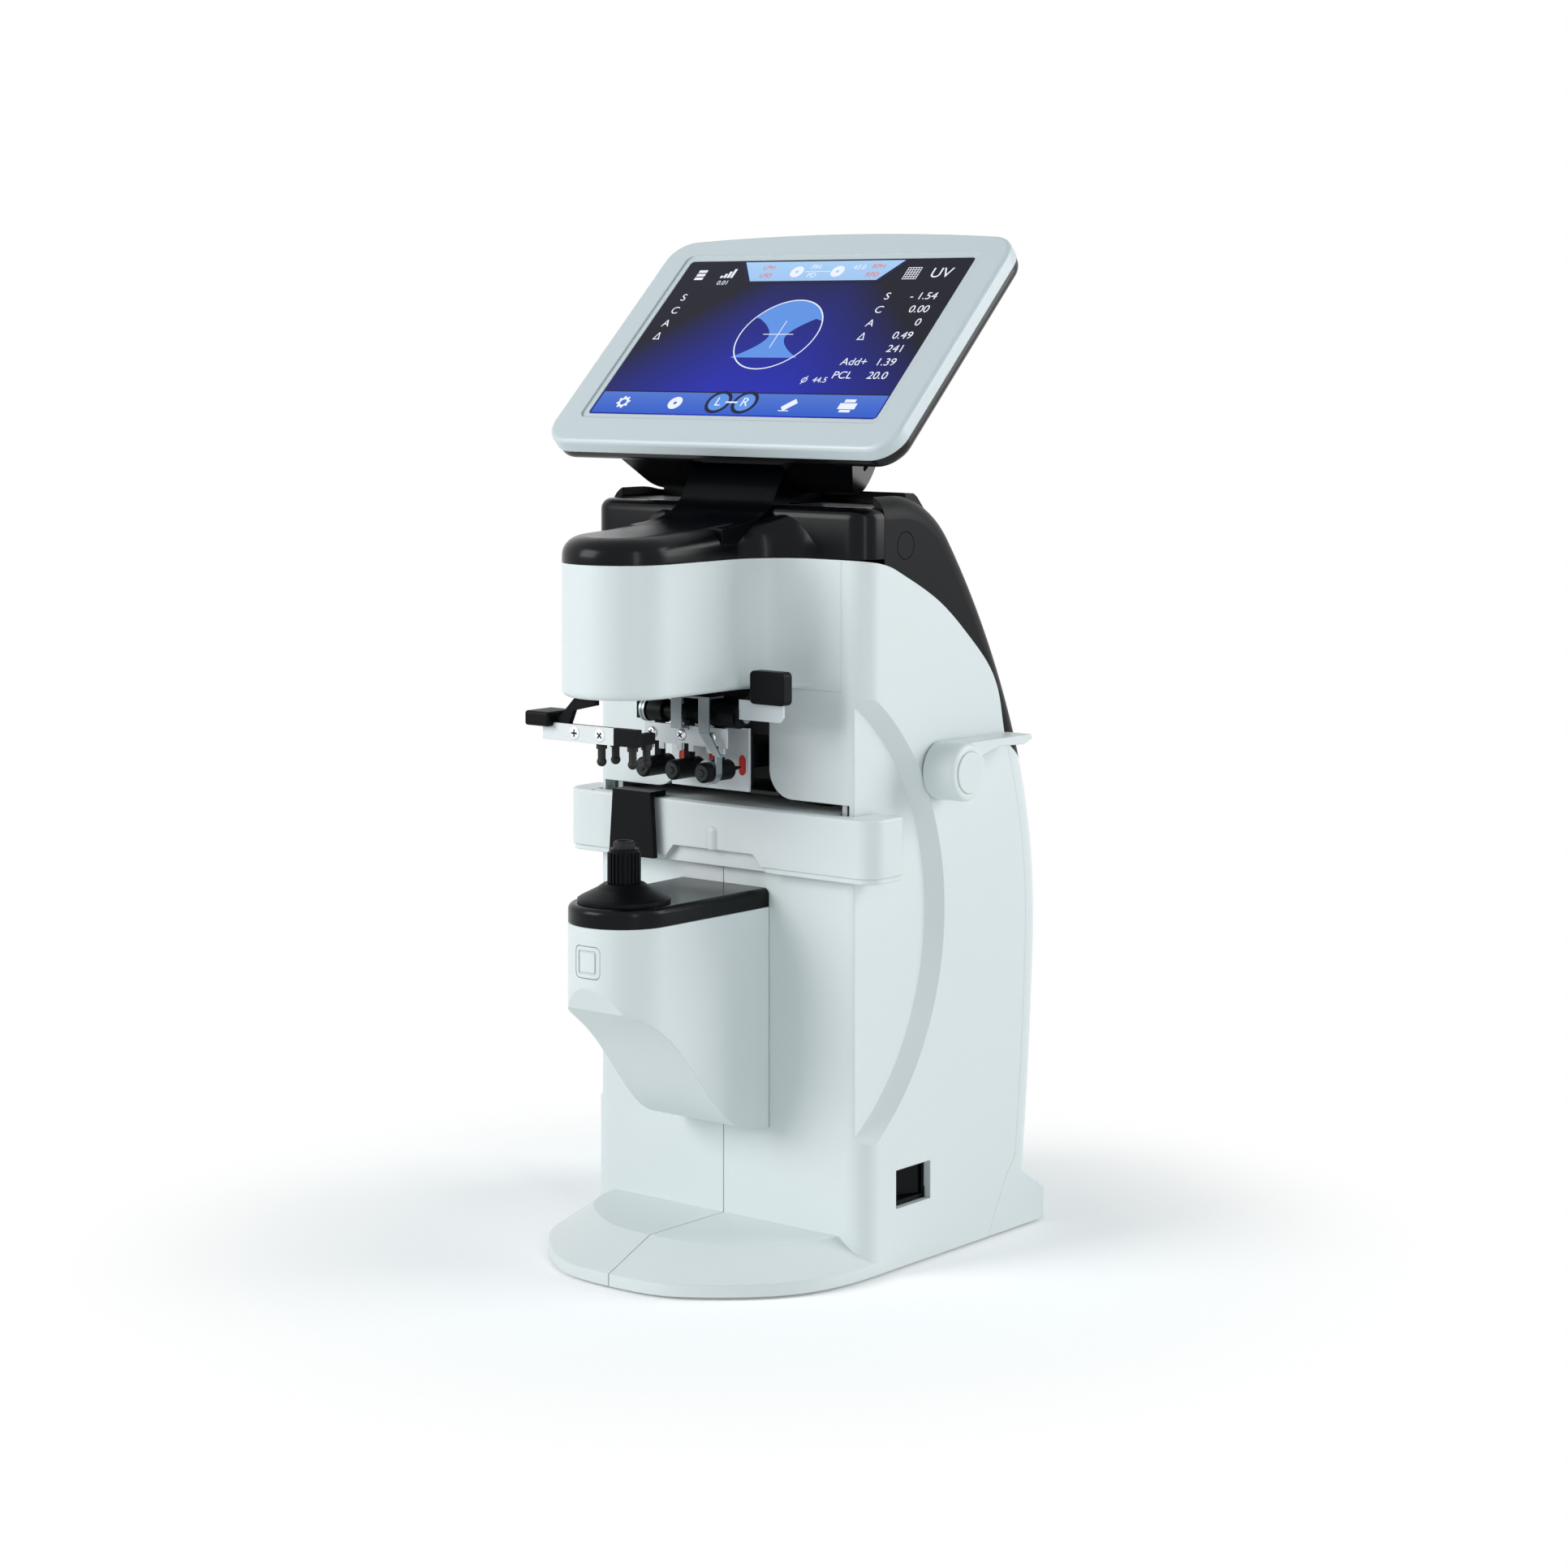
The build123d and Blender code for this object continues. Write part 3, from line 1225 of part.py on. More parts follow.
def build_nodes():
    nodes = {}
    nodes["right_shell"], nodes["left_shell"] = make_side_shells()
    nodes["rear_cover"] = make_rear_cover()
    nodes["rear_hood"] = make_rear_hood()
    nodes["head_shell"] = make_head_shell()
    nodes["head_floor"] = make_head_floor()
    nodes["head_cap"] = make_head_cap()
    nodes["hinge_pin"] = make_hinge_pin()
    nodes["opening_liner"] = make_opening_liner()
    nodes["base_plate"] = make_base_plate()
    nodes["foot_pads"] = make_foot_pads()
    nodes["chassis"] = make_chassis()
    nodes["rail_beam"] = make_rail_beam()
    nodes["light_source"] = make_light_source()
    nodes["light_window"] = make_light_window()
    nodes["sensor_barrel"] = Compound([make_sensor_barrel().solid(), make_pinhole_plate().solid()])
    nodes["tower_shell"] = make_tower_shell()
    nodes["tower_cap"] = make_tower_cap()
    nodes["nozzle_cone"] = make_nozzle_cone()
    nodes["nozzle"] = make_nozzle()
    nodes["nozzle_seat"] = make_nozzle_seat()
    nodes["read_button"] = make_button()
    nodes["button_switch"] = make_button_switch()
    nodes["lens_table"] = make_lens_table()
    nodes["table_carrier"] = make_table_carrier()
    nodes["table_rails"] = make_table_rails()
    nodes["table_rack"] = make_table_rack()
    nodes["gear_sector"] = make_gear_sector()
    nodes["lever_shaft"] = make_lever_shaft()
    nodes["side_lever"] = Compound([make_side_lever().solid(), make_lever_cap().solid()])
    nodes["pd_slider"] = make_pd_slider()
    nodes["presser_plate"] = make_presser_plate()
    nodes["presser_block"] = make_presser_block()
    nodes["presser_guides"] = make_presser_guides()
    nodes["presser_pins"] = make_presser_pins()
    nodes["presser_grip"] = make_presser_grip()
    nodes["presser_screws"] = make_presser_screws()
    nodes["marker_carriage"] = make_marker_carriage()
    nodes["marker_shaft"] = Compound([make_marker_shaft().solid(), *make_shaft_rings().solids()])
    nodes["marker_lever"] = make_marker_lever()
    nodes["marker_grip"] = make_marker_grip()
    nodes["pen_hub"] = make_pen_hub()
    nodes["marker_pens"] = Compound([make_pen(i).solid() for i in range(3)])
    nodes["comb_bracket"] = make_comb_bracket()
    nodes["bracket_screws"] = make_bracket_screws()
    nodes["saddle"] = make_saddle()
    nodes["pen_link"] = make_pen_link()
    nodes["ink_plate"] = make_ink_plate()
    nodes["ink_pads"] = make_ink_pads()
    nodes["screen_bezel"] = make_screen_bezel()
    nodes["screen_back"] = make_screen_back()
    nodes["touch_glass"] = make_touch_glass()
    nodes["lcd_panel"] = make_lcd_panel()
    nodes["screen_board"] = make_screen_board()
    nodes["switch_body"] = make_switch_body()
    nodes["switch_rocker"] = make_switch_rocker()
    nodes["power_inlet"] = make_power_inlet()
    boards = [make_main_board(), make_power_board(), make_sensor_board()]
    nodes["circuit_boards"] = Compound([solid for board in boards for solid in board.solids()])
    return nodes


os.makedirs("parts", exist_ok=True)
for name, shape in build_nodes().items():
    export_step(shape, "parts/" + name + ".step")
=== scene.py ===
import math

import bpy
from mathutils import Matrix, Vector


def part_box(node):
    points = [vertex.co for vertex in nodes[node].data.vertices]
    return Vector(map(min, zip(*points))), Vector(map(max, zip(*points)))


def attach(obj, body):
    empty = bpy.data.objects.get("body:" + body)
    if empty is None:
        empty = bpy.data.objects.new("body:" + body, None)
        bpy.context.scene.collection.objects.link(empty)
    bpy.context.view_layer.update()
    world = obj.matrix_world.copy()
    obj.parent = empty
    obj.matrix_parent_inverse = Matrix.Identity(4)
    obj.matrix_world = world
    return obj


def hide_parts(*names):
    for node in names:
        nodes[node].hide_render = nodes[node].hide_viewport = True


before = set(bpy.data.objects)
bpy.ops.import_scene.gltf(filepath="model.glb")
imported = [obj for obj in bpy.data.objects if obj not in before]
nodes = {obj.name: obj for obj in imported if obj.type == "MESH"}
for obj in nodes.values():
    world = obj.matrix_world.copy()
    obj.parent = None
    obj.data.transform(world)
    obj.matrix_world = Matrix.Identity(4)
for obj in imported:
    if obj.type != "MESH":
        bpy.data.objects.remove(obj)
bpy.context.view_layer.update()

# Camera: level, turned 39 degrees to the right side of the instrument, with the picture shifted down.
# Its place and lens were worked out from the photograph's vanishing lines and the size of the screen.
camera_data = bpy.data.cameras.new("camera")
camera_data.lens = 79.19
camera_data.sensor_width = 36.0
camera_data.shift_y = -0.2919
camera = bpy.data.objects.new("camera", camera_data)
camera.location = (0.92103, -1.11682, 0.3845)
camera.rotation_euler = (math.radians(90), 0, math.radians(39))
bpy.context.scene.collection.objects.link(camera)
bpy.context.scene.camera = camera
bpy.context.scene.view_settings.view_transform = "Standard"


# Studio: a white paper floor that keeps the object's shadow and runs out to plain white, an even
# cool surround, a broad lamp from the left, one from the right rear and a narrow one for the gloss.
def srgb(code):
    """Linear colour of an sRGB hex code."""
    parts = [int(code[i:i + 2], 16) / 255 for i in (1, 3, 5)]
    return tuple(c / 12.92 if c <= 0.04045 else ((c + 0.055) / 1.055) ** 2.4 for c in parts) + (1.0,)


def add_node(material, kind, settings=None, inputs=None, links=None):
    """Adds one shader node: its own settings, the values of its sockets, and what feeds them."""
    node = material.node_tree.nodes.new(kind)
    for name, value in (settings or {}).items():
        setattr(node, name, value)
    for name, value in (inputs or {}).items():
        node.inputs[name].default_value = value
    for name, source in (links or {}).items():
        material.node_tree.links.new(source, node.inputs[name])
    return node


def seen_directly(material):
    """One for the rays that look at the background: from the camera, in a mirror or through glass."""
    path = add_node(material, "ShaderNodeLightPath")
    either = add_node(material, "ShaderNodeMath", {"operation": "MAXIMUM"},
                      links={0: path.outputs["Is Camera Ray"], 1: path.outputs["Is Glossy Ray"]})
    return add_node(material, "ShaderNodeMath", {"operation": "MAXIMUM"},
                    links={0: either.outputs[0], 1: path.outputs["Is Transmission Ray"]}).outputs[0]


def studio_floor():
    """A wide sheet of matt paper, plain diffuse near the object and fading to white away from it."""
    sheet_size, own_glow, fade_from, fade_to = 14, 0.12, 0.12, 0.3
    bpy.ops.object.select_all(action="DESELECT")
    bpy.ops.mesh.primitive_plane_add(size=sheet_size, location=(0, 0, 0))
    floor = bpy.context.object
    floor.name = "studio_floor"
    paper = bpy.data.materials.new("matt_white_paper")
    paper.use_nodes = True
    paper.node_tree.nodes.clear()
    white = srgb("#FFFFFF")
    diffuse = add_node(paper, "ShaderNodeBsdfDiffuse", inputs={"Color": white, "Roughness": 0.5})
    lift = add_node(paper, "ShaderNodeEmission", inputs={"Color": white, "Strength": own_glow})
    near = add_node(paper, "ShaderNodeAddShader", links={0: diffuse.outputs[0], 1: lift.outputs[0]})
    far = add_node(paper, "ShaderNodeEmission", inputs={"Color": white, "Strength": 1.0})
    where = add_node(paper, "ShaderNodeTexCoord")
    reach = add_node(paper, "ShaderNodeVectorMath", {"operation": "LENGTH"},
                     links={0: where.outputs["Object"]})
    fade = add_node(paper, "ShaderNodeMapRange", {"interpolation_type": "SMOOTHSTEP"},
                    inputs={"From Min": fade_from, "From Max": fade_to},
                    links={"Value": reach.outputs["Value"]})
    shown = add_node(paper, "ShaderNodeMixShader",
                     links={0: fade.outputs["Result"], 1: near.outputs[0], 2: far.outputs[0]})
    mix = add_node(paper, "ShaderNodeMixShader",
                   links={0: seen_directly(paper), 1: diffuse.outputs[0], 2: shown.outputs[0]})
    add_node(paper, "ShaderNodeOutputMaterial", links={"Surface": mix.outputs[0]})
    floor.data.materials.append(paper)


def studio_surround():
    """An even cool light all round, which the camera, mirrors and glass see as plain white."""
    world = bpy.data.worlds.new("surround")
    bpy.context.scene.world = world
    world.use_nodes = True
    world.node_tree.nodes.clear()
    lit = add_node(world, "ShaderNodeBackground", inputs={"Color": srgb("#D0E0E4"), "Strength": 0.38})
    seen = add_node(world, "ShaderNodeBackground", inputs={"Color": srgb("#FFFFFF"), "Strength": 1.0})
    mix = add_node(world, "ShaderNodeMixShader",
                   links={0: seen_directly(world), 1: lit.outputs[0], 2: seen.outputs[0]})
    add_node(world, "ShaderNodeOutputWorld", links={"Surface": mix.outputs[0]})


def soft_lamp(name, turn, lift, away, size, power):
    """An area lamp aimed at the object, by its angle from the front, its height angle and its distance."""
    aim_height = 0.22
    turn, lift = math.radians(turn), math.radians(lift)
    data = bpy.data.lights.new(name, "AREA")
    data.shape = "RECTANGLE"
    data.size, data.size_y = size
    data.energy = power
    way = Vector((math.sin(turn) * math.cos(lift), -math.cos(turn) * math.cos(lift), math.sin(lift)))
    lamp = bpy.data.objects.new(name, data)
    lamp.location = way * away + Vector((0, 0, aim_height))
    lamp.rotation_euler = way.to_track_quat("Z", "Y").to_euler()
    bpy.context.scene.collection.objects.link(lamp)


studio_floor()
studio_surround()
soft_lamp("left_key", turn=-30, lift=22, away=2.2, size=(1.2, 1.2), power=31)
soft_lamp("right_rear", turn=132, lift=20, away=2.2, size=(1.1, 1.4), power=25)
soft_lamp("gloss_strip", turn=62, lift=12, away=1.8, size=(0.1, 1.5), power=5)


# Side shells, rear cover and head shell: the housing, injection moulded in ABS and sprayed with a pale
# cool satin lacquer. The lacquer gives a soft broad highlight over a very fine orange peel, and its
# colour drifts a little over a hand's width.
mm_in_m = 1000  # patterns and outlines are given in millimetres, and Blender counts in metres


def new_material(name):
    """An empty material with its shader and output in place."""
    material = bpy.data.materials.new(name)
    material.use_nodes = True
    material.node_tree.nodes.clear()
    shader = add_node(material, "ShaderNodeBsdfPrincipled")
    add_node(material, "ShaderNodeOutputMaterial", links={"Surface": shader.outputs["BSDF"]})
    return material, shader


def sprayed_lacquer(name, colour, roughness, peel_mm=1.6):
    """Sprayed lacquer on ABS: the peel is drawn at 1.6 mm, coarser than life, so that it shows."""
    material, shader = new_material(name)
    where = add_node(material, "ShaderNodeTexCoord")
    peel = add_node(material, "ShaderNodeTexNoise", inputs={"Scale": mm_in_m / peel_mm, "Detail": 2.0},
                    links={"Vector": where.outputs["Object"]})
    drift = add_node(material, "ShaderNodeTexNoise", inputs={"Scale": 9.0, "Detail": 3.0},
                     links={"Vector": where.outputs["Object"]})
    shade = add_node(material, "ShaderNodeMapRange", inputs={"To Min": 0.975, "To Max": 1.0},
                     links={"Value": drift.outputs["Fac"]})
    tint = add_node(material, "ShaderNodeMix", {"data_type": "RGBA", "blend_type": "MULTIPLY"},
                    inputs={"Factor": 1.0, "A": srgb(colour)}, links={"B": shade.outputs["Result"]})
    gloss = add_node(material, "ShaderNodeMapRange",
                     inputs={"To Min": roughness - 0.03, "To Max": roughness + 0.04},
                     links={"Value": drift.outputs["Fac"]})
    edge = add_node(material, "ShaderNodeBevel", {"samples": 4}, inputs={"Radius": 0.0006})
    skin = add_node(material, "ShaderNodeBump", inputs={"Strength": 0.03, "Distance": 0.0002},
                    links={"Height": peel.outputs["Fac"], "Normal": edge.outputs["Normal"]})
    tree = material.node_tree
    tree.links.new(tint.outputs["Result"], shader.inputs["Base Color"])
    tree.links.new(gloss.outputs["Result"], shader.inputs["Roughness"])
    tree.links.new(skin.outputs["Normal"], shader.inputs["Normal"])
    shader.inputs["IOR"].default_value = 1.48
    return material


def dress(material, *names):
    """Gives a finish to pieces of the frame."""
    for name in names:
        mesh = nodes[name].data
        mesh.materials.clear()
        mesh.materials.append(material)


pale_lacquer = sprayed_lacquer("pale_lacquered_abs", "#E0E7E8", 0.36)
dress(pale_lacquer, "right_shell", "left_shell", "rear_cover", "head_shell")


# Head cap and rear hood: black ABS. The polished cap mirrors the lamps in clear stripes and stands here
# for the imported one, as three solids: round nose, soft shoulders and the screen's steep neck. The hood
# comes from a finely etched mould, keeps a satin sheen and ends in a firm edge at its crown.
def black_abs(name, colour, roughness, etch_mm, etch, shine=0.3):
    """Moulded black ABS with the mark of an etched mould and faint wear where hands touch it."""
    material, shader = new_material(name)
    where = add_node(material, "ShaderNodeTexCoord")
    grain = add_node(material, "ShaderNodeTexNoise", inputs={"Scale": mm_in_m / etch_mm, "Detail": 3.0},
                     links={"Vector": where.outputs["Object"]})
    wear = add_node(material, "ShaderNodeTexNoise", inputs={"Scale": 22.0, "Detail": 4.0},
                    links={"Vector": where.outputs["Object"]})
    tone = add_node(material, "ShaderNodeMix", {"data_type": "RGBA"},
                    inputs={"A": srgb(colour), "B": tuple(1.5 * c for c in srgb(colour)[:3]) + (1.0,)},
                    links={"Factor": wear.outputs["Fac"]})
    gloss = add_node(material, "ShaderNodeMapRange",
                     inputs={"To Min": roughness - 0.04, "To Max": roughness + 0.06},
                     links={"Value": wear.outputs["Fac"]})
    edge = add_node(material, "ShaderNodeBevel", {"samples": 4}, inputs={"Radius": 0.0004})
    skin = add_node(material, "ShaderNodeBump", inputs={"Strength": etch, "Distance": 0.0001},
                    links={"Height": grain.outputs["Fac"], "Normal": edge.outputs["Normal"]})
    tree = material.node_tree
    tree.links.new(tone.outputs["Result"], shader.inputs["Base Color"])
    tree.links.new(gloss.outputs["Result"], shader.inputs["Roughness"])
    tree.links.new(skin.outputs["Normal"], shader.inputs["Normal"])
    shader.inputs["Specular IOR Level"].default_value = shine
    return material


def drawn_out(name, outline, way, start, end):
    """A solid from a closed outline in millimetres: a disc's rim is laid on it, then drawn out.

    The way is x, y or z. An outline for x is in (y, z), one for y in (x, z) and one for z in (x, y)."""
    bpy.ops.object.select_all(action="DESELECT")
    bpy.ops.mesh.primitive_circle_add(vertices=len(outline), radius=1, fill_type="NGON")
    piece = bpy.context.object
    piece.name = name
    for vertex, (a, b) in zip(piece.data.vertices, outline):
        place = {"x": (start, a, b), "y": (a, start, b), "z": (a, b, start)}[way]
        vertex.co = Vector(place) / mm_in_m
    length = (end - start) / mm_in_m
    bpy.ops.object.mode_set(mode="EDIT")
    bpy.ops.mesh.select_all(action="SELECT")
    bpy.ops.mesh.extrude_region_move(
        TRANSFORM_OT_translate={"value": [length if axis == way else 0 for axis in "xyz"]})
    bpy.ops.mesh.select_all(action="SELECT")
    bpy.ops.mesh.normals_make_consistent(inside=False)
    bpy.ops.object.mode_set(mode="OBJECT")
    return piece


def arc(centre, radius, first, last, steps):
    """Points along part of a circle, from one angle to another."""
    turns = [math.radians(first + (last - first) * i / steps) for i in range(steps + 1)]
    return [(centre[0] + radius * math.cos(t), centre[1] + radius * math.sin(t)) for t in turns]


def select_none(kind):
    """Leaves nothing of the active mesh selected, ready for faces or edges to be picked in code."""
    bpy.ops.object.mode_set(mode="EDIT")
    bpy.ops.mesh.select_mode(type=kind)
    bpy.ops.mesh.select_all(action="DESELECT")
    bpy.ops.object.mode_set(mode="OBJECT")


def soften_top(piece, edge_r, steps):
    """Draws a solid's top face up by a radius, inset in steps, so that its rim becomes round."""
    select_none("FACE")
    max(piece.data.polygons, key=lambda face: face.center.z).select = True
    bpy.ops.object.mode_set(mode="EDIT")
    for i in range(steps):
        low, high = (math.radians(90 * k / steps) for k in (i, i + 1))
        bpy.ops.mesh.inset(thickness=edge_r * (math.cos(low) - math.cos(high)) / mm_in_m)
        bpy.ops.transform.translate(value=(0, 0, edge_r * (math.sin(high) - math.sin(low)) / mm_in_m))
    bpy.ops.object.mode_set(mode="OBJECT")


def finish_piece(piece, material, body, slot, *replaced):
    """Smooths the curved faces, gives the finish and hands the piece to its body."""
    smooth_below = math.radians(32)
    bpy.ops.object.select_all(action="DESELECT")
    piece.select_set(True)
    bpy.context.view_layer.objects.active = piece
    bpy.ops.object.transform_apply(location=True, rotation=True, scale=True)
    bpy.ops.object.shade_smooth_by_angle(angle=smooth_below)
    piece.data.materials.clear()
    piece.data.materials.append(material)
    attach(piece, body)
    if replaced:
        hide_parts(*replaced)


def cap_nose():
    """Nose of the cap: its plan drawn up and inset in steps round an 8 mm edge, then bent to the ramp."""
    seat, top, edge_r = 290.3, 301.0, 8.0
    nose_r, nose_y, flare_r, flare_x, flare_y, back_y = 25, -81.4, 24, 49, -43.3, -6.6
    plan = arc((-flare_x, flare_y), flare_r, 90, 0, 12) + arc((0, nose_y), nose_r, 180, 360, 36)
    plan += arc((flare_x, flare_y), flare_r, 180, 90, 12) + [(flare_x, back_y), (-flare_x, back_y)]
    nose = drawn_out("head_cap_nose", plan, "z", seat, top - edge_r)
    soften_top(nose, edge_r, 7)
    first_cut, cut_step, side_step = -100, 4, 0.0065
    bpy.ops.object.mode_set(mode="EDIT")
    for i in range(24):
        bpy.ops.mesh.select_all(action="SELECT")
        bpy.ops.mesh.bisect(plane_co=(0, (first_cut + cut_step * i) / mm_in_m, 0), plane_no=(0, 1, 0))
    for i in range(-6, 7):
        bpy.ops.mesh.select_all(action="SELECT")
        bpy.ops.mesh.bisect(plane_co=(side_step * i, 0, 0), plane_no=(1, 0, 0))
    bpy.ops.object.mode_set(mode="OBJECT")
    tip_y, ramp_length, ramp_rise, tip_drop = -106.4, 90, 6.1, 0.6
    flank_x, flank_wide, flank_y, flank_deep, flank_rise = 22, 22, -52, 34, 4.6
    for vertex in nose.data.vertices:
        x, y = vertex.co.x * mm_in_m, vertex.co.y * mm_in_m
        along = min(max((y - tip_y) / ramp_length, 0), 1)
        aside = min(max((abs(x) - flank_x) / flank_wide, 0), 1) * min(max((y - flank_y) / flank_deep, 0), 1)
        rise = ramp_rise * along ** 1.6 - tip_drop + flank_rise * aside * aside * (3 - 2 * aside)
        share = (vertex.co.z * mm_in_m - seat) / (top - seat)
        vertex.co.z += rise * share / mm_in_m
    return nose


def cap_neck():
    """Neck of the screen: its side view drawn out to both sides, with the fixed knuckle at its top."""
    half_width = 25
    front = [(-50, 302.6), (-40, 303.6), (-31, 305.0), (-25, 306.8), (-20.5, 309.4), (-17.2, 313),
             (-14.6, 317.5), (-11.6, 322.5)]
    knuckle = arc((5, 328), 13, 184, 0, 24)
    back = [(16, 316), (14, 311.4), (-6.4, 311.4), (-6.4, 296), (-50, 296)]
    return drawn_out("head_cap_neck", front + knuckle + back, "x", -half_width, half_width)


def cap_shoulders():
    """Shoulders: a plan with two round front corners, drawn up to a softer rim. Its back is in the hood."""
    corner_x, corner_y, corner_r, half_width, back_y = 63.9, -9.3, 10, 73.9, -2
    plan = arc((-corner_x, corner_y), corner_r, 180, 270, 10)
    plan += arc((corner_x, corner_y), corner_r, 270, 360, 10)
    plan += [(half_width, back_y), (-half_width, back_y)]
    seat, rim, edge_r = 290.3, 306.4, 4.6
    block = drawn_out("head_cap_shoulders", plan, "z", seat, rim)
    soften_top(block, edge_r, 6)
    return block


gloss_black = black_abs("polished_black_abs", "#030508", 0.22, 0.8, 0.02, shine=0.16)
satin_black = black_abs("etched_black_abs", "#06080B", 0.36, 0.5, 0.12, shine=0.1)
finish_piece(cap_shoulders(), gloss_black, "base", "trim_black", "head_cap")
finish_piece(cap_nose(), gloss_black, "base", "trim_black", "head_cap")
finish_piece(cap_neck(), gloss_black, "base", "trim_black", "head_cap")


def hood_crown():
    """Firm edge of the hood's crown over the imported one: its side view drawn across, its ends softened."""
    half_width = 66
    side_view = [(18, 315.97), (25.2, 315.5), (27.2, 314.3), (43.3, 297.2), (38, 292), (18, 302)]
    crown = drawn_out("rear_hood_crown", side_view, "x", -half_width, half_width)
    select_none("EDGE")
    for edge in crown.data.edges:
        a, b = (crown.data.vertices[i].co * mm_in_m for i in edge.vertices)
        edge.select = abs(a.x - b.x) < 0.1
    bpy.ops.object.mode_set(mode="EDIT")
    bpy.ops.mesh.bevel(offset=0.0012, segments=4, affect="EDGES")
    bpy.ops.object.mode_set(mode="OBJECT")
    return crown


finish_piece(hood_crown(), satin_black, "base", "trim_black")
dress(satin_black, "rear_hood")


# Tower: the measuring base, a lacquered shell under a black cap, with a stepped black cone and the
# ribbed nozzle that a lens rests on. A soft rubber ring on top keeps the lens from scratching.
def moulded_rubber(name):
    """Black nitrile rubber: dull, with a dusty grain drawn at 0.4 mm."""
    material, shader = new_material(name)
    where = add_node(material, "ShaderNodeTexCoord")
    grain = add_node(material, "ShaderNodeTexNoise", inputs={"Scale": mm_in_m / 0.4, "Detail": 3.0},
                     links={"Vector": where.outputs["Object"]})
    tone = add_node(material, "ShaderNodeMix", {"data_type": "RGBA"},
                    inputs={"A": srgb("#0A0B0C"), "B": srgb("#151618")},
                    links={"Factor": grain.outputs["Fac"]})
    bump = add_node(material, "ShaderNodeBump", inputs={"Strength": 0.15, "Distance": 0.0001},
                    links={"Height": grain.outputs["Fac"]})
    material.node_tree.links.new(tone.outputs["Result"], shader.inputs["Base Color"])
    material.node_tree.links.new(bump.outputs["Normal"], shader.inputs["Normal"])
    shader.inputs["Roughness"].default_value = 0.55
    shader.inputs["Specular IOR Level"].default_value = 0.35
    return material


nitrile = moulded_rubber("black_nitrile_rubber")
dress(pale_lacquer, "tower_shell", "read_button")
dress(gloss_black, "tower_cap")
dress(satin_black, "nozzle_cone", "nozzle", "sensor_barrel", "button_switch")
dress(nitrile, "nozzle_seat")


# Lens table: a lacquered moulding on a plate that runs back into the column on two ground rods, with a
# rack behind it. The black slider hooks over its front and reads the pupil distance.
def plated_steel(name, colour, roughness, grain_mm, bump=0.05):
    """Steel, ground or drawn along one way and nickel plated, with fine lines along the grain."""
    material, shader = new_material(name)
    where = add_node(material, "ShaderNodeTexCoord")
    stretch = add_node(material, "ShaderNodeMapping", inputs={"Scale": (0.06, 1.0, 1.0)},
                       links={"Vector": where.outputs["Object"]})
    grain = add_node(material, "ShaderNodeTexNoise", inputs={"Scale": mm_in_m / grain_mm, "Detail": 3.0},
                     links={"Vector": stretch.outputs["Vector"]})
    rough = add_node(material, "ShaderNodeMapRange",
                     inputs={"To Min": roughness - 0.05, "To Max": roughness + 0.06},
                     links={"Value": grain.outputs["Fac"]})
    edge = add_node(material, "ShaderNodeBevel", {"samples": 4}, inputs={"Radius": 0.00015})
    lines = add_node(material, "ShaderNodeBump", inputs={"Strength": bump, "Distance": 0.0001},
                     links={"Height": grain.outputs["Fac"], "Normal": edge.outputs["Normal"]})
    material.node_tree.links.new(rough.outputs["Result"], shader.inputs["Roughness"])
    material.node_tree.links.new(lines.outputs["Normal"], shader.inputs["Normal"])
    shader.inputs["Base Color"].default_value = srgb(colour)
    shader.inputs["Metallic"].default_value = 1.0
    return material


ground_steel = plated_steel("ground_steel_bar", "#B9BEC1", 0.28, 0.3)
dress(pale_lacquer, "lens_table", "table_carrier")
dress(satin_black, "pd_slider")
dress(ground_steel, "table_rails", "table_rack")


# Side lever: a moulded knob with an inset cap and a flat arm, lacquered as the housing is, on a ground
# shaft that carries the toothed sector inside.
dress(pale_lacquer, "side_lever")
dress(ground_steel, "lever_shaft", "gear_sector")


# Chassis: folded zinc-plated sheet inside the column, with the cross beam of the table rails, the sheet
# under the foot and its rubber feet. Zinc plate looks grey and slightly spangled.
def zinc_plate(name):
    """Zinc-plated sheet, its spangle drawn at 6 mm."""
    material, shader = new_material(name)
    where = add_node(material, "ShaderNodeTexCoord")
    spangle = add_node(material, "ShaderNodeTexVoronoi", inputs={"Scale": 160.0},
                       links={"Vector": where.outputs["Object"]})
    tone = add_node(material, "ShaderNodeMix", {"data_type": "RGBA"},
                    inputs={"A": srgb("#9EA3A5"), "B": srgb("#B4B8B9")},
                    links={"Factor": spangle.outputs["Distance"]})
    rough = add_node(material, "ShaderNodeMapRange", inputs={"To Min": 0.36, "To Max": 0.5},
                     links={"Value": spangle.outputs["Distance"]})
    material.node_tree.links.new(tone.outputs["Result"], shader.inputs["Base Color"])
    material.node_tree.links.new(rough.outputs["Result"], shader.inputs["Roughness"])
    shader.inputs["Metallic"].default_value = 1.0
    return material


zinc_sheet = zinc_plate("zinc_plated_sheet")
dress(zinc_sheet, "chassis", "rail_beam", "base_plate")
dress(nitrile, "foot_pads")


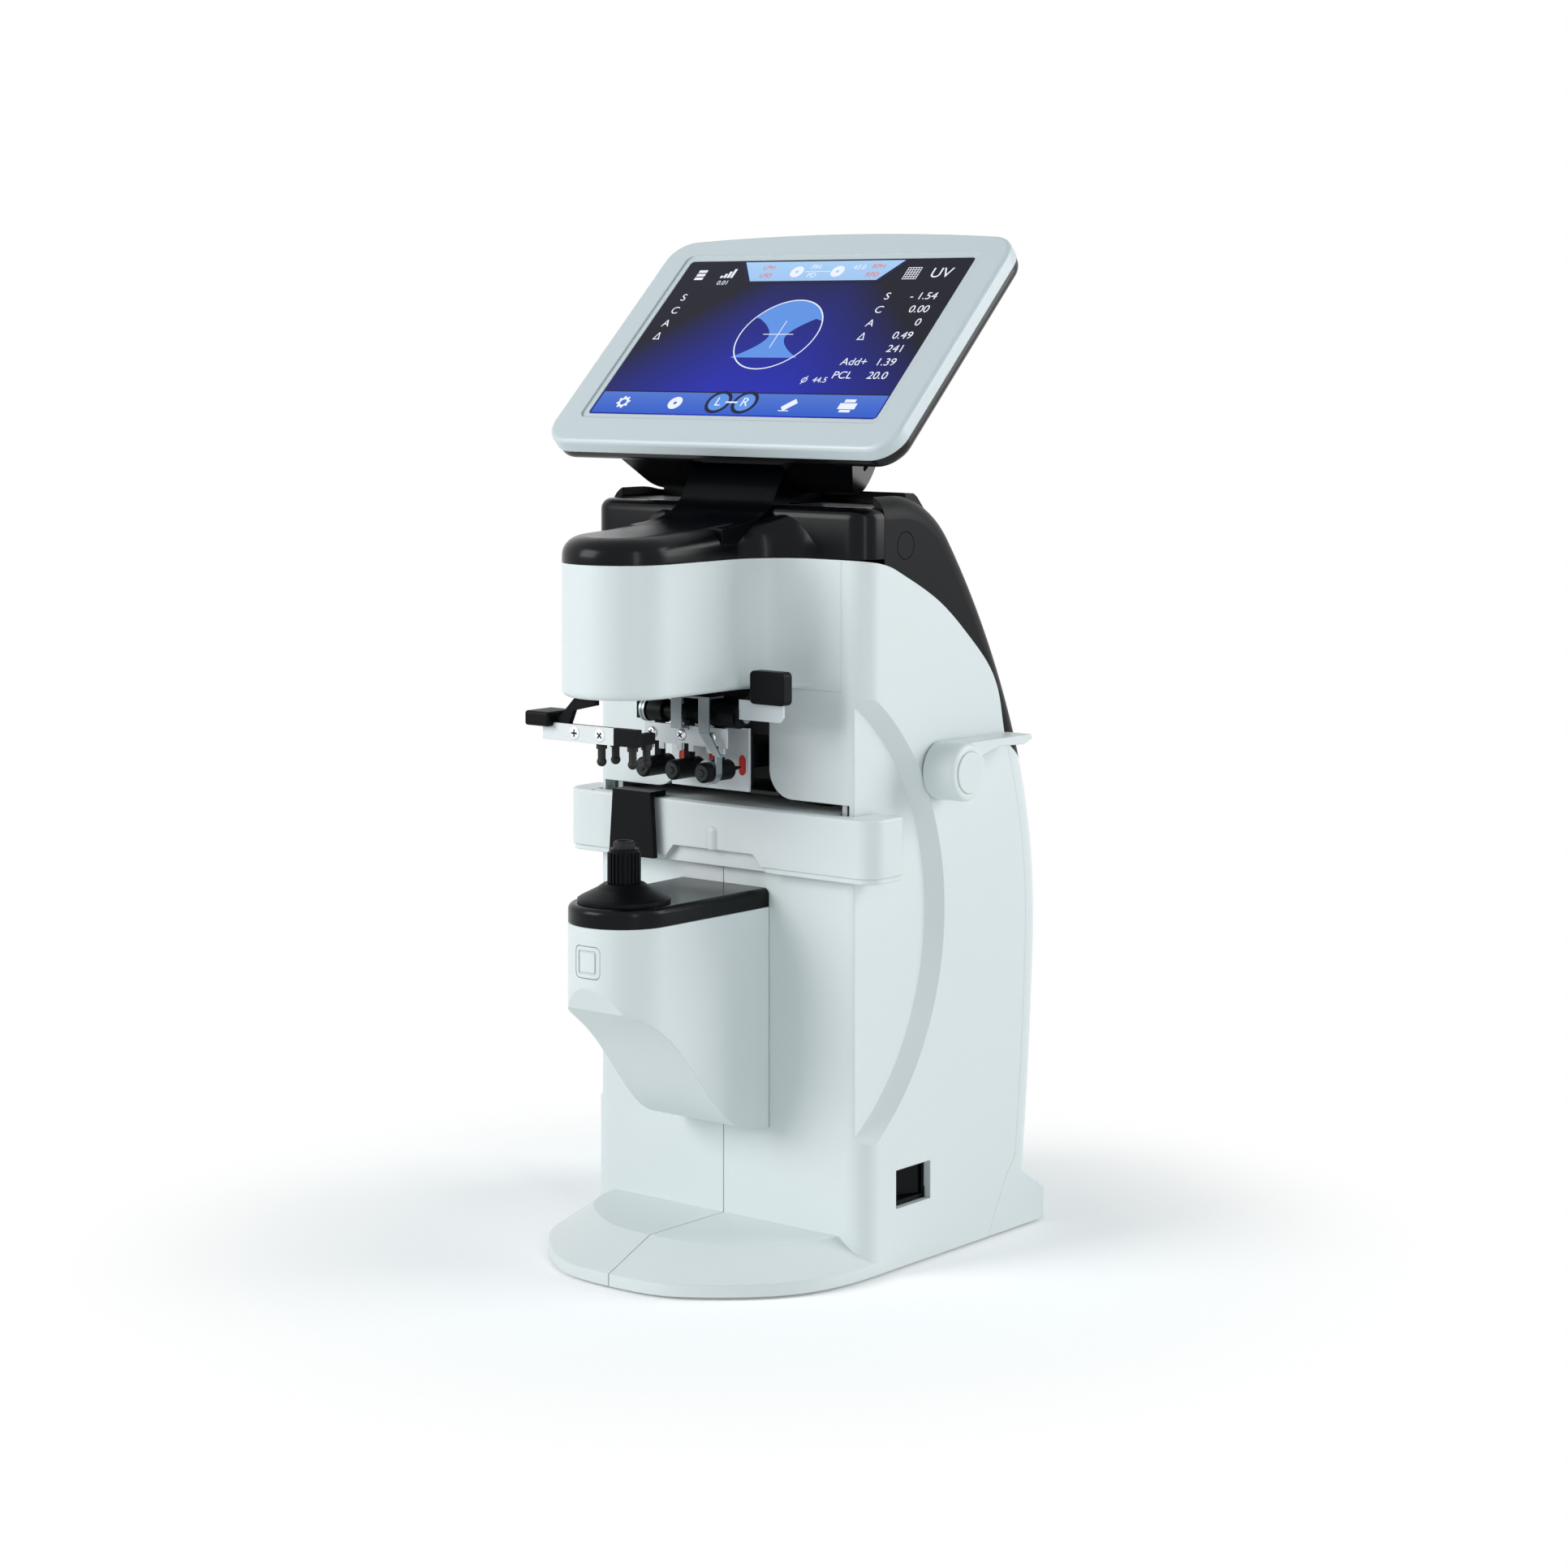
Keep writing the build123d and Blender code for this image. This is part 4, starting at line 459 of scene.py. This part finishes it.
# Power parts: a black rocker switch in a square well, the mains inlet at the rear, and the circuit
# boards, green epoxy laminate with copper tracks under the solder mask.
def board_laminate(name):
    """Green solder mask over a net of tracks at 2.5 mm spacing."""
    material, shader = new_material(name)
    where = add_node(material, "ShaderNodeTexCoord")
    tracks = add_node(material, "ShaderNodeTexBrick", {"offset": 0.5},
                      inputs={"Scale": mm_in_m / 2.5, "Mortar Size": 0.06, "Color1": srgb("#17502C"),
                              "Color2": srgb("#1B5831"), "Mortar": srgb("#3C8A55")},
                      links={"Vector": where.outputs["Object"]})
    raised = add_node(material, "ShaderNodeBump", inputs={"Strength": 0.2, "Distance": 0.0001},
                      links={"Height": tracks.outputs["Fac"]})
    material.node_tree.links.new(tracks.outputs["Color"], shader.inputs["Base Color"])
    material.node_tree.links.new(raised.outputs["Normal"], shader.inputs["Normal"])
    shader.inputs["Roughness"].default_value = 0.32
    return material


dress(satin_black, "switch_body", "switch_rocker", "power_inlet")
dress(board_laminate("green_board_laminate"), "circuit_boards", "screen_board")


# Measuring light: a turned black barrel over the nozzle's axis, behind a coated glass window in the
# floor plate of the head.
def coated_glass(name):
    """Optical glass with a faint green anti-reflection coat that drifts in thickness."""
    material, shader = new_material(name)
    where = add_node(material, "ShaderNodeTexCoord")
    film = add_node(material, "ShaderNodeTexNoise", inputs={"Scale": 140.0, "Detail": 1.0},
                    links={"Vector": where.outputs["Object"]})
    tone = add_node(material, "ShaderNodeMix", {"data_type": "RGBA"},
                    inputs={"A": srgb("#101A18"), "B": srgb("#16262A")},
                    links={"Factor": film.outputs["Fac"]})
    material.node_tree.links.new(tone.outputs["Result"], shader.inputs["Base Color"])
    shader.inputs["Roughness"].default_value = 0.05
    shader.inputs["IOR"].default_value = 1.52
    shader.inputs["Coat Weight"].default_value = 0.5
    shader.inputs["Coat Roughness"].default_value = 0.03
    return material


dress(coated_glass("coated_window_glass"), "light_window")
dress(satin_black, "light_source", "head_floor")


# Presser: a white powder-coated plate with two large cross-head screws, the black moulded block behind
# it with four rubber-tipped pins, and the grip that pulls it down along two ground guides.
def powder_coat(name, colour, roughness):
    """Powder coat on steel sheet: an even, slightly pebbled skin at 0.6 mm."""
    material, shader = new_material(name)
    where = add_node(material, "ShaderNodeTexCoord")
    pebble = add_node(material, "ShaderNodeTexVoronoi", {"feature": "SMOOTH_F1"},
                      inputs={"Scale": 1700.0, "Smoothness": 1.0}, links={"Vector": where.outputs["Object"]})
    drift = add_node(material, "ShaderNodeTexNoise", inputs={"Scale": 40.0, "Detail": 2.0},
                     links={"Vector": where.outputs["Object"]})
    shade = add_node(material, "ShaderNodeMapRange", inputs={"To Min": 0.96, "To Max": 1.0},
                     links={"Value": drift.outputs["Fac"]})
    tint = add_node(material, "ShaderNodeMix", {"data_type": "RGBA", "blend_type": "MULTIPLY"},
                    inputs={"Factor": 1.0, "A": srgb(colour)}, links={"B": shade.outputs["Result"]})
    edge = add_node(material, "ShaderNodeBevel", {"samples": 4}, inputs={"Radius": 0.0002})
    skin = add_node(material, "ShaderNodeBump", inputs={"Strength": 0.06, "Distance": 0.0001},
                    links={"Height": pebble.outputs["Distance"], "Normal": edge.outputs["Normal"]})
    material.node_tree.links.new(tint.outputs["Result"], shader.inputs["Base Color"])
    material.node_tree.links.new(skin.outputs["Normal"], shader.inputs["Normal"])
    shader.inputs["Roughness"].default_value = roughness
    return material


white_plate = powder_coat("white_powder_coat", "#E4E8EA", 0.4)
# Matt black ABS of the presser, the pens and their parts; also the black painted shade in the screws'
# crosses.
moulded_black_and_painted_shade = black_abs("matt_black_abs_and_painted_shade", "#06080A", 0.42, 0.4, 0.15, shine=0.1)
screw_steel = plated_steel("brushed_screw_steel", "#D6DADC", 0.42, 0.5, 0.0)
dress(moulded_black_and_painted_shade, "presser_block", "presser_grip")
plate_face = -89.5  # front of the presser, along Y


def combine(piece, other, operation="UNION"):
    """Joins a solid to a piece, or cuts it out, and removes it."""
    change = piece.modifiers.new("combine", "BOOLEAN")
    change.operation = operation
    change.solver = "EXACT"
    change.use_self = True
    change.use_hole_tolerant = True
    change.object = other
    bpy.ops.object.select_all(action="DESELECT")
    piece.select_set(True)
    bpy.context.view_layer.objects.active = piece
    bpy.ops.object.modifier_apply(modifier=change.name)
    bpy.data.objects.remove(other)


def oblong(left, low, right, high):
    """Outline of a rectangle."""
    return [(left, low), (right, low), (right, high), (left, high)]


def presser_front():
    """Plate of 0.9 mm sheet with its upper left corner cut off, and the moulded bar that carries it."""
    left, right, low, high, corner = -36.9, 1.5, 217, 224, 1.2
    outline = [(left, low), (right, low), (right, high), (left + corner, high), (left, high - corner)]
    plate = drawn_out("presser_plate_sheet", outline, "y", plate_face, plate_face + 0.9)
    finish_piece(plate, white_plate, "presser", "plate_white", "presser_plate")
    bar = drawn_out("presser_front_bar", oblong(-36, 217.2, 13.8, 223.9), "y", -88.55, -86.4)
    combine(bar, drawn_out("bar_end", oblong(1.7, 217.1, 13.9, 224), "y", plate_face, -86.5))
    finish_piece(bar, moulded_black_and_painted_shade, "presser", "trim_black")


def circle(radius, steps=48, centre=(0, 0)):
    """Points of a full circle."""
    return arc(centre, radius, 0, 360, steps)[:-1]


def screw_head(radius, dome):
    """Pattern of a screw head, its top up: a disc with a rounded rim and its cross cut in.

    The faces in the cross are marked for the second material, which paints them black as painted shade."""
    head = drawn_out("screw_head", circle(radius), "z", 0, 0.1)
    soften_top(head, dome, 5)
    across, along = 0.13 * radius, 0.58 * radius
    for wide, high in ((along, across), (across, along)):
        cut = drawn_out("cut", oblong(-wide, -high, wide, high), "z", max(0.06, dome - 0.6), 3)
        combine(head, cut, "DIFFERENCE")
    # Faces deep in the cross are marked to be painted black, as painted shade.
    for face in head.data.polygons:
        x, y, z = face.center * mm_in_m
        painted_shade_in_cross = z < dome - 0.05 and math.hypot(x, y) < 0.6 * radius and face.normal.z > -0.5
        face.material_index = int(painted_shade_in_cross)
    return head


def facing_front(pattern, name, place, turn=0):
    """A copy of a pattern with its own mesh, its top turned to the front, at a place in millimetres."""
    piece = pattern.copy()
    piece.data = pattern.data.copy()
    piece.name = name
    bpy.context.scene.collection.objects.link(piece)
    piece.location = Vector(place) / mm_in_m
    piece.rotation_euler = (math.pi / 2, turn, 0)
    return piece


def cross_head_screw(pattern, name, place, turn, body, *replaced):
    """A steel screw of the pattern on its body, with its cross painted black as painted shade for the shadow
    in it.
    """
    head = facing_front(pattern, name, place, turn)
    finish_piece(head, screw_steel, body, "steel", *replaced)
    # The second material paints the cross black, as painted shade.
    head.data.materials.append(moulded_black_and_painted_shade)
    for face, marked in zip(head.data.polygons, pattern.data.polygons):
        face.material_index = marked.material_index


presser_front()
# The crosses of these screws are painted black as painted shade.
flat_head = screw_head(2.7, 0.2)
cross_head_screw(flat_head, "presser_screw_left", (-19.6, plate_face, 220.5), 0, "presser", "presser_screws")
cross_head_screw(flat_head, "presser_screw_right", (-5.9, plate_face, 220.5), 0.7, "presser")
bpy.data.objects.remove(flat_head)
dress(ground_steel, "presser_guides")
dress(nitrile, "presser_pins")


# Marker: three pens, each with a plug in its front end, in a black sleeve on a steel shaft. A comb bracket
# with three pan-head screws and a polished strap hold them, and the silver bar swings them down.
polished_strap = plated_steel("polished_nickel_strip", "#8F999E", 0.3, 0.5, 0.0)
silver_sheet = powder_coat("silver_enamelled_sheet", "#D3D9DC", 0.34)
dress(polished_strap, "saddle", "pen_link", "marker_shaft")
dress(silver_sheet, "comb_bracket", "marker_lever")
dress(moulded_black_and_painted_shade, "pen_hub", "marker_pens", "marker_grip", "marker_carriage")


def pen_plug():
    """Pattern of the plug in a pen's front end: a rimmed disc with a round boss, moulded a shade lighter."""
    plug = drawn_out("plug", circle(3.3), "z", 0, 0.2)
    soften_top(plug, 0.25, 3)
    boss = drawn_out("boss", circle(1.55, 24), "z", 0.1, 0.9)
    soften_top(boss, 0.35, 4)
    combine(plug, boss)
    return plug


plug_grey = black_abs("grey_abs_plug", "#171B1E", 0.4, 0.4, 0.1)
pen_pitch, screw_aside = 16, -1.6
# The crosses of these screws are painted black as painted shade.
pan_head = screw_head(2.4, 1.2)
for side, step, turn, replaced in (("left", -1, 0.3, ["bracket_screws"]), ("middle", 0, 0.9, []),
                                   ("right", 1, 0.5, [])):
    place = (screw_aside + pen_pitch * step, -43.9, 217)
    cross_head_screw(pan_head, "bracket_screw_" + side, place, turn, "pens", *replaced)
bpy.data.objects.remove(pan_head)
plug = pen_plug()
for side, step in (("left", -1), ("middle", 0), ("right", 1)):
    own_plug = facing_front(plug, "pen_plug_" + side, (pen_pitch * step, -52.2, 203.5))
    finish_piece(own_plug, plug_grey, "pens", "trim_black")
bpy.data.objects.remove(plug)


# Ink plate: a pale enamelled plate with an oval window before each pad. The pads are red-inked wool
# felt, in a well lined with a dark blue sheet whose colour is painted shade for the shadow in the opening.
def inked_felt(name):
    """Wool felt soaked with red ink, its fibres drawn at 0.5 mm."""
    material, shader = new_material(name)
    where = add_node(material, "ShaderNodeTexCoord")
    fibre = add_node(material, "ShaderNodeTexNoise",
                     inputs={"Scale": mm_in_m / 0.5, "Detail": 6.0, "Distortion": 1.5},
                     links={"Vector": where.outputs["Object"]})
    tone = add_node(material, "ShaderNodeMix", {"data_type": "RGBA"},
                    inputs={"A": srgb("#A80808"), "B": srgb("#E0231C")},
                    links={"Factor": fibre.outputs["Fac"]})
    nap = add_node(material, "ShaderNodeBump", inputs={"Strength": 0.5, "Distance": 0.0003},
                   links={"Height": fibre.outputs["Fac"]})
    material.node_tree.links.new(tone.outputs["Result"], shader.inputs["Base Color"])
    material.node_tree.links.new(nap.outputs["Normal"], shader.inputs["Normal"])
    shader.inputs["Roughness"].default_value = 0.7
    shader.inputs["Sheen Weight"].default_value = 0.3
    return material


dress(silver_sheet, "ink_plate")
dress(inked_felt("red_inked_felt"), "ink_pads")
# The opening's liner is dark blue as painted shade, for the shadow inside the opening.
dress(powder_coat("painted_shade_dark_blue_sheet", "#10161C", 0.5), "opening_liner")


# Screen housing: a lacquered bezel a shade cooler than the column, screwed to a black back shell with
# the two hinge lugs, around the display and its board.
bezel_lacquer = sprayed_lacquer("cool_lacquered_bezel", "#CFD9DD", 0.3)
dress(bezel_lacquer, "screen_bezel")
dress(black_abs("smooth_black_abs", "#08090B", 0.24, 0.5, 0.05), "screen_back")
dress(satin_black, "lcd_panel")
dress(ground_steel, "hinge_pin")


# Picture on the display: a lit panel bonded under a cover glass, with the readings of one lens.
# The blue field is the glass itself, and each mark is a thin lit plate just over it.
picture_w, picture_h = 0.154, 0.0938
mark_lift, mark_thick = 0.00004, 0.00003  # in metres, as the picture's size is


def screen_matrix():
    """Place of the picture: X to the right, Y up the screen and Z out of the glass, centred."""
    glass = nodes["touch_glass"].data
    face = max((p for p in glass.polygons if p.normal.z > 0), key=lambda p: p.area)
    out = face.normal.copy()
    along = out.cross(Vector((1, 0, 0)))
    low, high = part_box("touch_glass")
    centre = (Vector(low) + Vector(high)) / 2
    top = max(v.co.dot(out) for v in glass.vertices)
    origin = centre + out * (top - centre.dot(out) + mark_lift)
    return Matrix(((1, along.x, out.x, origin.x), (0, along.y, out.y, origin.y),
                   (0, along.z, out.z, origin.z), (0, 0, 0, 1)))


def lit_panel(name, low, high, side_shade=0.0, hatch=0.0):
    """Light from the panel, shaded up the screen and to its sides, with a woven ground, under glass."""
    material, shader = new_material(name)
    where = add_node(material, "ShaderNodeTexCoord")
    parts = add_node(material, "ShaderNodeSeparateXYZ", links={"Vector": where.outputs["Object"]})
    low_z, high_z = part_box("touch_glass")[0][2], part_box("touch_glass")[1][2]
    up = add_node(material, "ShaderNodeMapRange", inputs={"From Min": low_z, "From Max": high_z},
                  links={"Value": parts.outputs["Z"]})
    side = add_node(material, "ShaderNodeMath", {"operation": "ABSOLUTE"}, links={0: parts.outputs["X"]})
    edge = add_node(material, "ShaderNodeMapRange",
                    inputs={"From Min": 0.02, "From Max": picture_w / 2, "To Max": side_shade},
                    links={"Value": side.outputs["Value"]})
    total = add_node(material, "ShaderNodeMath", {"operation": "ADD", "use_clamp": True},
                     links={0: up.outputs["Result"], 1: edge.outputs["Result"]})
    colour = add_node(material, "ShaderNodeMix", {"data_type": "RGBA"},
                      inputs={"A": srgb(low), "B": srgb(high)}, links={"Factor": total.outputs["Value"]})
    lines = add_node(material, "ShaderNodeTexWave", {"bands_direction": "DIAGONAL"},
                     inputs={"Scale": 500.0, "Distortion": 2.0, "Detail": 2.0},
                     links={"Vector": where.outputs["Object"]})
    weave = add_node(material, "ShaderNodeMapRange", inputs={"To Min": 1.0 - hatch, "To Max": 1.0},
                     links={"Value": lines.outputs["Fac"]})
    woven = add_node(material, "ShaderNodeMix", {"data_type": "RGBA", "blend_type": "MULTIPLY"},
                     inputs={"Factor": 1.0},
                     links={"A": colour.outputs["Result"], "B": weave.outputs["Result"]})
    material.node_tree.links.new(woven.outputs["Result"], shader.inputs["Emission Color"])
    shader.inputs["Emission Strength"].default_value = 1.0
    shader.inputs["Base Color"].default_value = srgb("#02030A")
    shader.inputs["Roughness"].default_value = 0.08
    shader.inputs["Specular IOR Level"].default_value = 0.12
    return material


dress(lit_panel("lit_blue_field", "#1526C4", "#04051C", side_shade=0.55, hatch=0.25), "touch_glass")

on_screen = screen_matrix()


def at(across, down):
    """A point of the picture in millimetres, from shares of its width and of its height from the top."""
    return ((across - 0.5) * picture_w * mm_in_m, (0.5 - down) * picture_h * mm_in_m)


def ring(centre, outer, inner):
    """Outlines of a ring: its outer circle and the hole in it."""
    return [circle(outer, centre=centre), circle(inner, centre=centre)]


def bar(x0, y0, x1, y1, about=(0, 0)):
    """Outline of a rectangle, measured from a point."""
    return [oblong(about[0] + x0, about[1] + y0, about[0] + x1, about[1] + y1)]


def stroke(x0, y0, x1, y1, width, about=(0, 0)):
    """Outline of a straight line of the given width, measured from a point."""
    dx, dy = x1 - x0, y1 - y0
    length = math.hypot(dx, dy)
    nx, ny = -dy / length * width / 2, dx / length * width / 2
    corners = (x0 + nx, y0 + ny), (x1 + nx, y1 + ny), (x1 - nx, y1 - ny), (x0 - nx, y0 - ny)
    return [[(about[0] + x, about[1] + y) for x, y in corners]]


def flat_plate(name, outlines, lift=0.0):
    """A thin filled plate from closed outlines: an outline inside another is a hole."""
    curve = bpy.data.curves.new(name, "CURVE")
    curve.dimensions = "2D"
    curve.fill_mode = "BOTH"
    curve.extrude = mark_thick * mm_in_m / 2
    for outline in outlines:
        spline = curve.splines.new("POLY")
        spline.points.add(len(outline) - 1)
        for point, (x, y) in zip(spline.points, outline):
            point.co = (x, y, lift, 1)
        spline.use_cyclic_u = True
    plate = bpy.data.objects.new(name, curve)
    bpy.context.scene.collection.objects.link(plate)
    return plate


def words(text, place, size, align="CENTER"):
    """Lettering of the display, with its cap height centred on the place."""
    bpy.ops.object.text_add()
    word = bpy.context.object
    word.data.body = text
    word.data.size = size
    word.data.align_x = align
    word.data.align_y = "CENTER"
    word.data.extrude = mark_thick * mm_in_m / 2
    word.location = (place[0], place[1], 0)
    return word


def lit_marks(name, pieces, material, lift=0.0):
    """Joins marks into one mesh on the screen and makes them ride with it."""
    bpy.ops.object.select_all(action="DESELECT")
    for piece in pieces:
        piece.select_set(True)
    bpy.context.view_layer.objects.active = pieces[0]
    bpy.ops.object.convert(target="MESH")
    bpy.ops.object.transform_apply(location=True, rotation=True, scale=True)
    if len(pieces) > 1:
        bpy.ops.object.join()
    marks = bpy.context.view_layer.objects.active
    marks.name = name
    marks.data.transform(on_screen @ Matrix.Scale(1 / mm_in_m, 4) @ Matrix.Translation((0, 0, lift)))
    marks.data.materials.clear()
    marks.data.materials.append(material)
    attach(marks, "screen")
    return marks


def lit_colour(name, code):
    """One plain lit colour of the panel, over cells of 0.25 mm that are a little darker by turns."""
    material, shader = new_material(name)
    where = add_node(material, "ShaderNodeTexCoord")
    dimmer = tuple(0.94 * c for c in srgb(code)[:3]) + (1.0,)
    cells = add_node(material, "ShaderNodeTexChecker",
                     inputs={"Scale": mm_in_m / 0.25, "Color1": srgb(code), "Color2": dimmer},
                     links={"Vector": where.outputs["Object"]})
    material.node_tree.links.new(cells.outputs["Color"], shader.inputs["Emission Color"])
    shader.inputs["Emission Strength"].default_value = 1.0
    shader.inputs["Base Color"].default_value = srgb("#050505")
    shader.inputs["Roughness"].default_value = 0.1
    shader.inputs["Specular IOR Level"].default_value = 0.12
    return material


lit_white = lit_colour("lit_white", "#EEF4FF")
lit_orange = lit_colour("lit_orange", "#E8682C")
lit_sky = lit_colour("lit_sky_blue", "#5C93E6")
lit_navy = lit_colour("lit_navy", "#060A38")
bar_panel = lit_panel("lit_bar", "#1E55C8", "#A9D0F7", hatch=0.04)

# How far each layer of marks stands above the lowest one, in millimetres.
lift_bars, lift_lines, lift_rings, lift_eyes, lift_letters = 0.03, 0.06, 0.08, 0.09, 0.12


def display_fields():
    """Tab at the top, bar at the bottom and the round map of the lens."""
    left, right = at(0, 0)[0], at(1, 0)[0]
    top, low = at(0, 0)[1], at(0, 1)[1]
    tab_low, rim_wide, bar_top, line_wide = at(0, 0.13)[1], 1.6, at(0, 0.865)[1], 0.8
    tab = [(at(0.20, 0)[0], top), (at(0.77, 0)[0], top), (at(0.71, 0)[0], tab_low), (at(0.26, 0)[0], tab_low)]
    rim = [(at(0.185, 0)[0], top), (at(0.79, 0)[0], top), (at(0.72, 0)[0], tab_low - rim_wide),
           (at(0.25, 0)[0], tab_low - rim_wide)]
    line = bar(left, bar_top, right, bar_top + line_wide)
    lit_marks("screen_dark_lines", [flat_plate("rim", [rim]), flat_plate("line", line)], lit_navy)
    lit_marks("screen_bars", [flat_plate("tab", [tab]), flat_plate("bar", bar(left, low, right, bar_top))],
              bar_panel, lift_bars)
    centre, radius, half_line, cross_reach, cross_wide = at(0.49, 0.485), 21.0, 0.3, 8.2, 0.4
    lobes = []
    for side, first, last in ((-1, 152, 218), (1, -38, 28)):
        lobe = [(centre[0] + side * (4.5 + 13.5 * abs(t) ** 1.7), centre[1] + t * radius * 0.6 - 1.5)
                for t in [1 - 0.125 * i for i in range(17)]]
        lobes.append(arc(centre, radius, first, last, 16) + (lobe if side > 0 else lobe[::-1]))
    lit_marks("lens_map_field", [flat_plate("disc", [circle(radius, centre=centre)] + lobes)], lit_sky)
    lines = ring(centre, radius + half_line, radius - half_line)
    lines += stroke(-cross_reach, 0, cross_reach, 0, cross_wide, centre)
    upright = stroke(0, -cross_reach, 0, cross_reach, cross_wide, centre)
    lit_marks("lens_map_lines", [flat_plate("outline", lines), flat_plate("cross", upright)],
              lit_white, lift_lines)


def display_readings():
    """Signs at both sides, the readings of one lens at the right, and the small ones at the top."""
    large, small = 6.0, 3.8
    first_row, sign_step, reading_step = 0.24, 0.087, 0.084
    marks = []
    for row, sign in enumerate("SCA\u0394"):
        for across in (0.055, 0.786):
            marks.append(words(sign, at(across, first_row + sign_step * row), large))
    for row, reading in enumerate(("- 1.54", "0.00", "0", "0.49", "241", "1.39", "20.0")):
        marks.append(words(reading, at(0.955, first_row + reading_step * row), large, "RIGHT"))
    for text, across, down, size in (("Add+", 0.815, 0.66, large), ("PCL", 0.803, 0.744, large),
                                     ("44.5", 0.737, 0.775, 4.4), ("UV", 0.92, 0.09, 8.4),
                                     ("0.01", 0.163, 0.14, small), ("43.0", 0.625, 0.045, small),
                                     ("PH", 0.47, 0.04, 4.0), ("PD", 0.47, 0.095, 4.0)):
        marks.append(words(text, at(across, down), size))
    lit_marks("screen_readings", marks, lit_white, lift_lines)
    orange = [words(text, at(across, down), small) for text, across, down in
              (("LPH", 0.30, 0.04), ("LPD", 0.305, 0.095), ("RPH", 0.69, 0.04), ("RPD", 0.685, 0.095))]
    lit_marks("screen_orange_readings", orange, lit_orange, lift_lines)


def gear_outline(centre, radius, teeth):
    """Outlines of a toothed wheel with a hole: two points for each tooth's top and two for its gap."""
    root, hole = radius * 0.76, radius * 0.45
    outline = []
    for i in range(teeth * 4):
        turn = 2 * math.pi * (i + 0.5) / (teeth * 4)
        reach = radius if i % 4 < 2 else root
        outline.append((centre[0] + reach * math.cos(turn), centre[1] + reach * math.sin(turn)))
    return [outline, circle(hole, centre=centre)]


def display_icons():
    """Small pictures along the bottom bar and in the tab, and the two rings for left and right."""
    low = 0.932
    marks = [flat_plate("gear", gear_outline(at(0.095, low), 3.6, 8))]
    marks.append(flat_plate("disc", ring(at(0.285, low), 3.6, 0.9)))
    eraser = at(0.69, low)
    marks.append(flat_plate("eraser", stroke(-3.0, -2.4, 2.4, 2.4, 3.2, eraser)))
    marks.append(flat_plate("rubbed", bar(-4.4, -3.6, 1.0, -3.1, eraser)))
    printer = at(0.885, low)
    marks.append(flat_plate("printer", bar(-4.4, -1.8, 4.4, 1.6, printer)))
    marks.append(flat_plate("paper", bar(-2.8, 2.1, 2.8, 3.8, printer)))
    marks.append(flat_plate("tray", bar(-2.8, -3.6, 2.8, -2.2, printer)))
    for i in range(3):
        y = -2.6 + 2.3 * i
        marks.append(flat_plate("card", bar(-2.4, y, 2.4, y + 1.6, at(0.062, 0.09))))
    for i, height in enumerate((1.4, 2.6, 4.0, 5.6)):
        x = -3.6 + 1.9 * i
        marks.append(flat_plate("signal", bar(x, -2.4, x + 1.4, -2.4 + height, at(0.163, 0.08))))
    grid, half_grid, line_wide = at(0.82, 0.09), 3.6, 0.3
    for i in range(6):
        offset = -3.5 + 1.4 * i
        marks.append(flat_plate("grid", bar(-half_grid, offset, half_grid, offset + line_wide, grid)))
        marks.append(flat_plate("grid", bar(offset, -half_grid, offset + line_wide, half_grid, grid)))
    for across in (0.41, 0.555):
        marks.append(flat_plate("eye", ring(at(across, 0.07), 3.4, 0.8)))
    (first, y), last = at(0.44, 0.07), at(0.53, 0)[0]
    marks.append(flat_plate("link", bar(first, y - 0.15, last, y + 0.15)))
    phi = at(0.684, 0.775)
    marks.append(flat_plate("phi", ring(phi, 1.5, 1.1)))
    marks.append(flat_plate("phi", stroke(-0.9, -2.4, 0.9, 2.4, 0.4, phi)))
    lit_marks("screen_icons", marks, lit_white, lift_lines)
    left_eye, right_eye = at(0.437, low - 0.01), at(0.53, low - 0.01)
    eyes = (left_eye, right_eye)
    dark = [flat_plate("ring", ring(eye, 6.6, 5.0)) for eye in eyes]
    lit_marks("screen_eye_rings", dark, lit_navy, lift_rings)
    fields = [flat_plate("field", [circle(4.9, centre=eye)]) for eye in eyes]
    lit_marks("screen_eye_fields", fields, lit_sky, lift_eyes)
    arrow = stroke(left_eye[0] + 4.0, left_eye[1], right_eye[0] - 4.0, left_eye[1], 0.9)
    letters = [words("L", left_eye, 7.0), words("R", right_eye, 7.0), flat_plate("arrow", arrow)]
    lit_marks("screen_eye_letters", letters, lit_white, lift_letters)


display_fields()
display_readings()
display_icons()
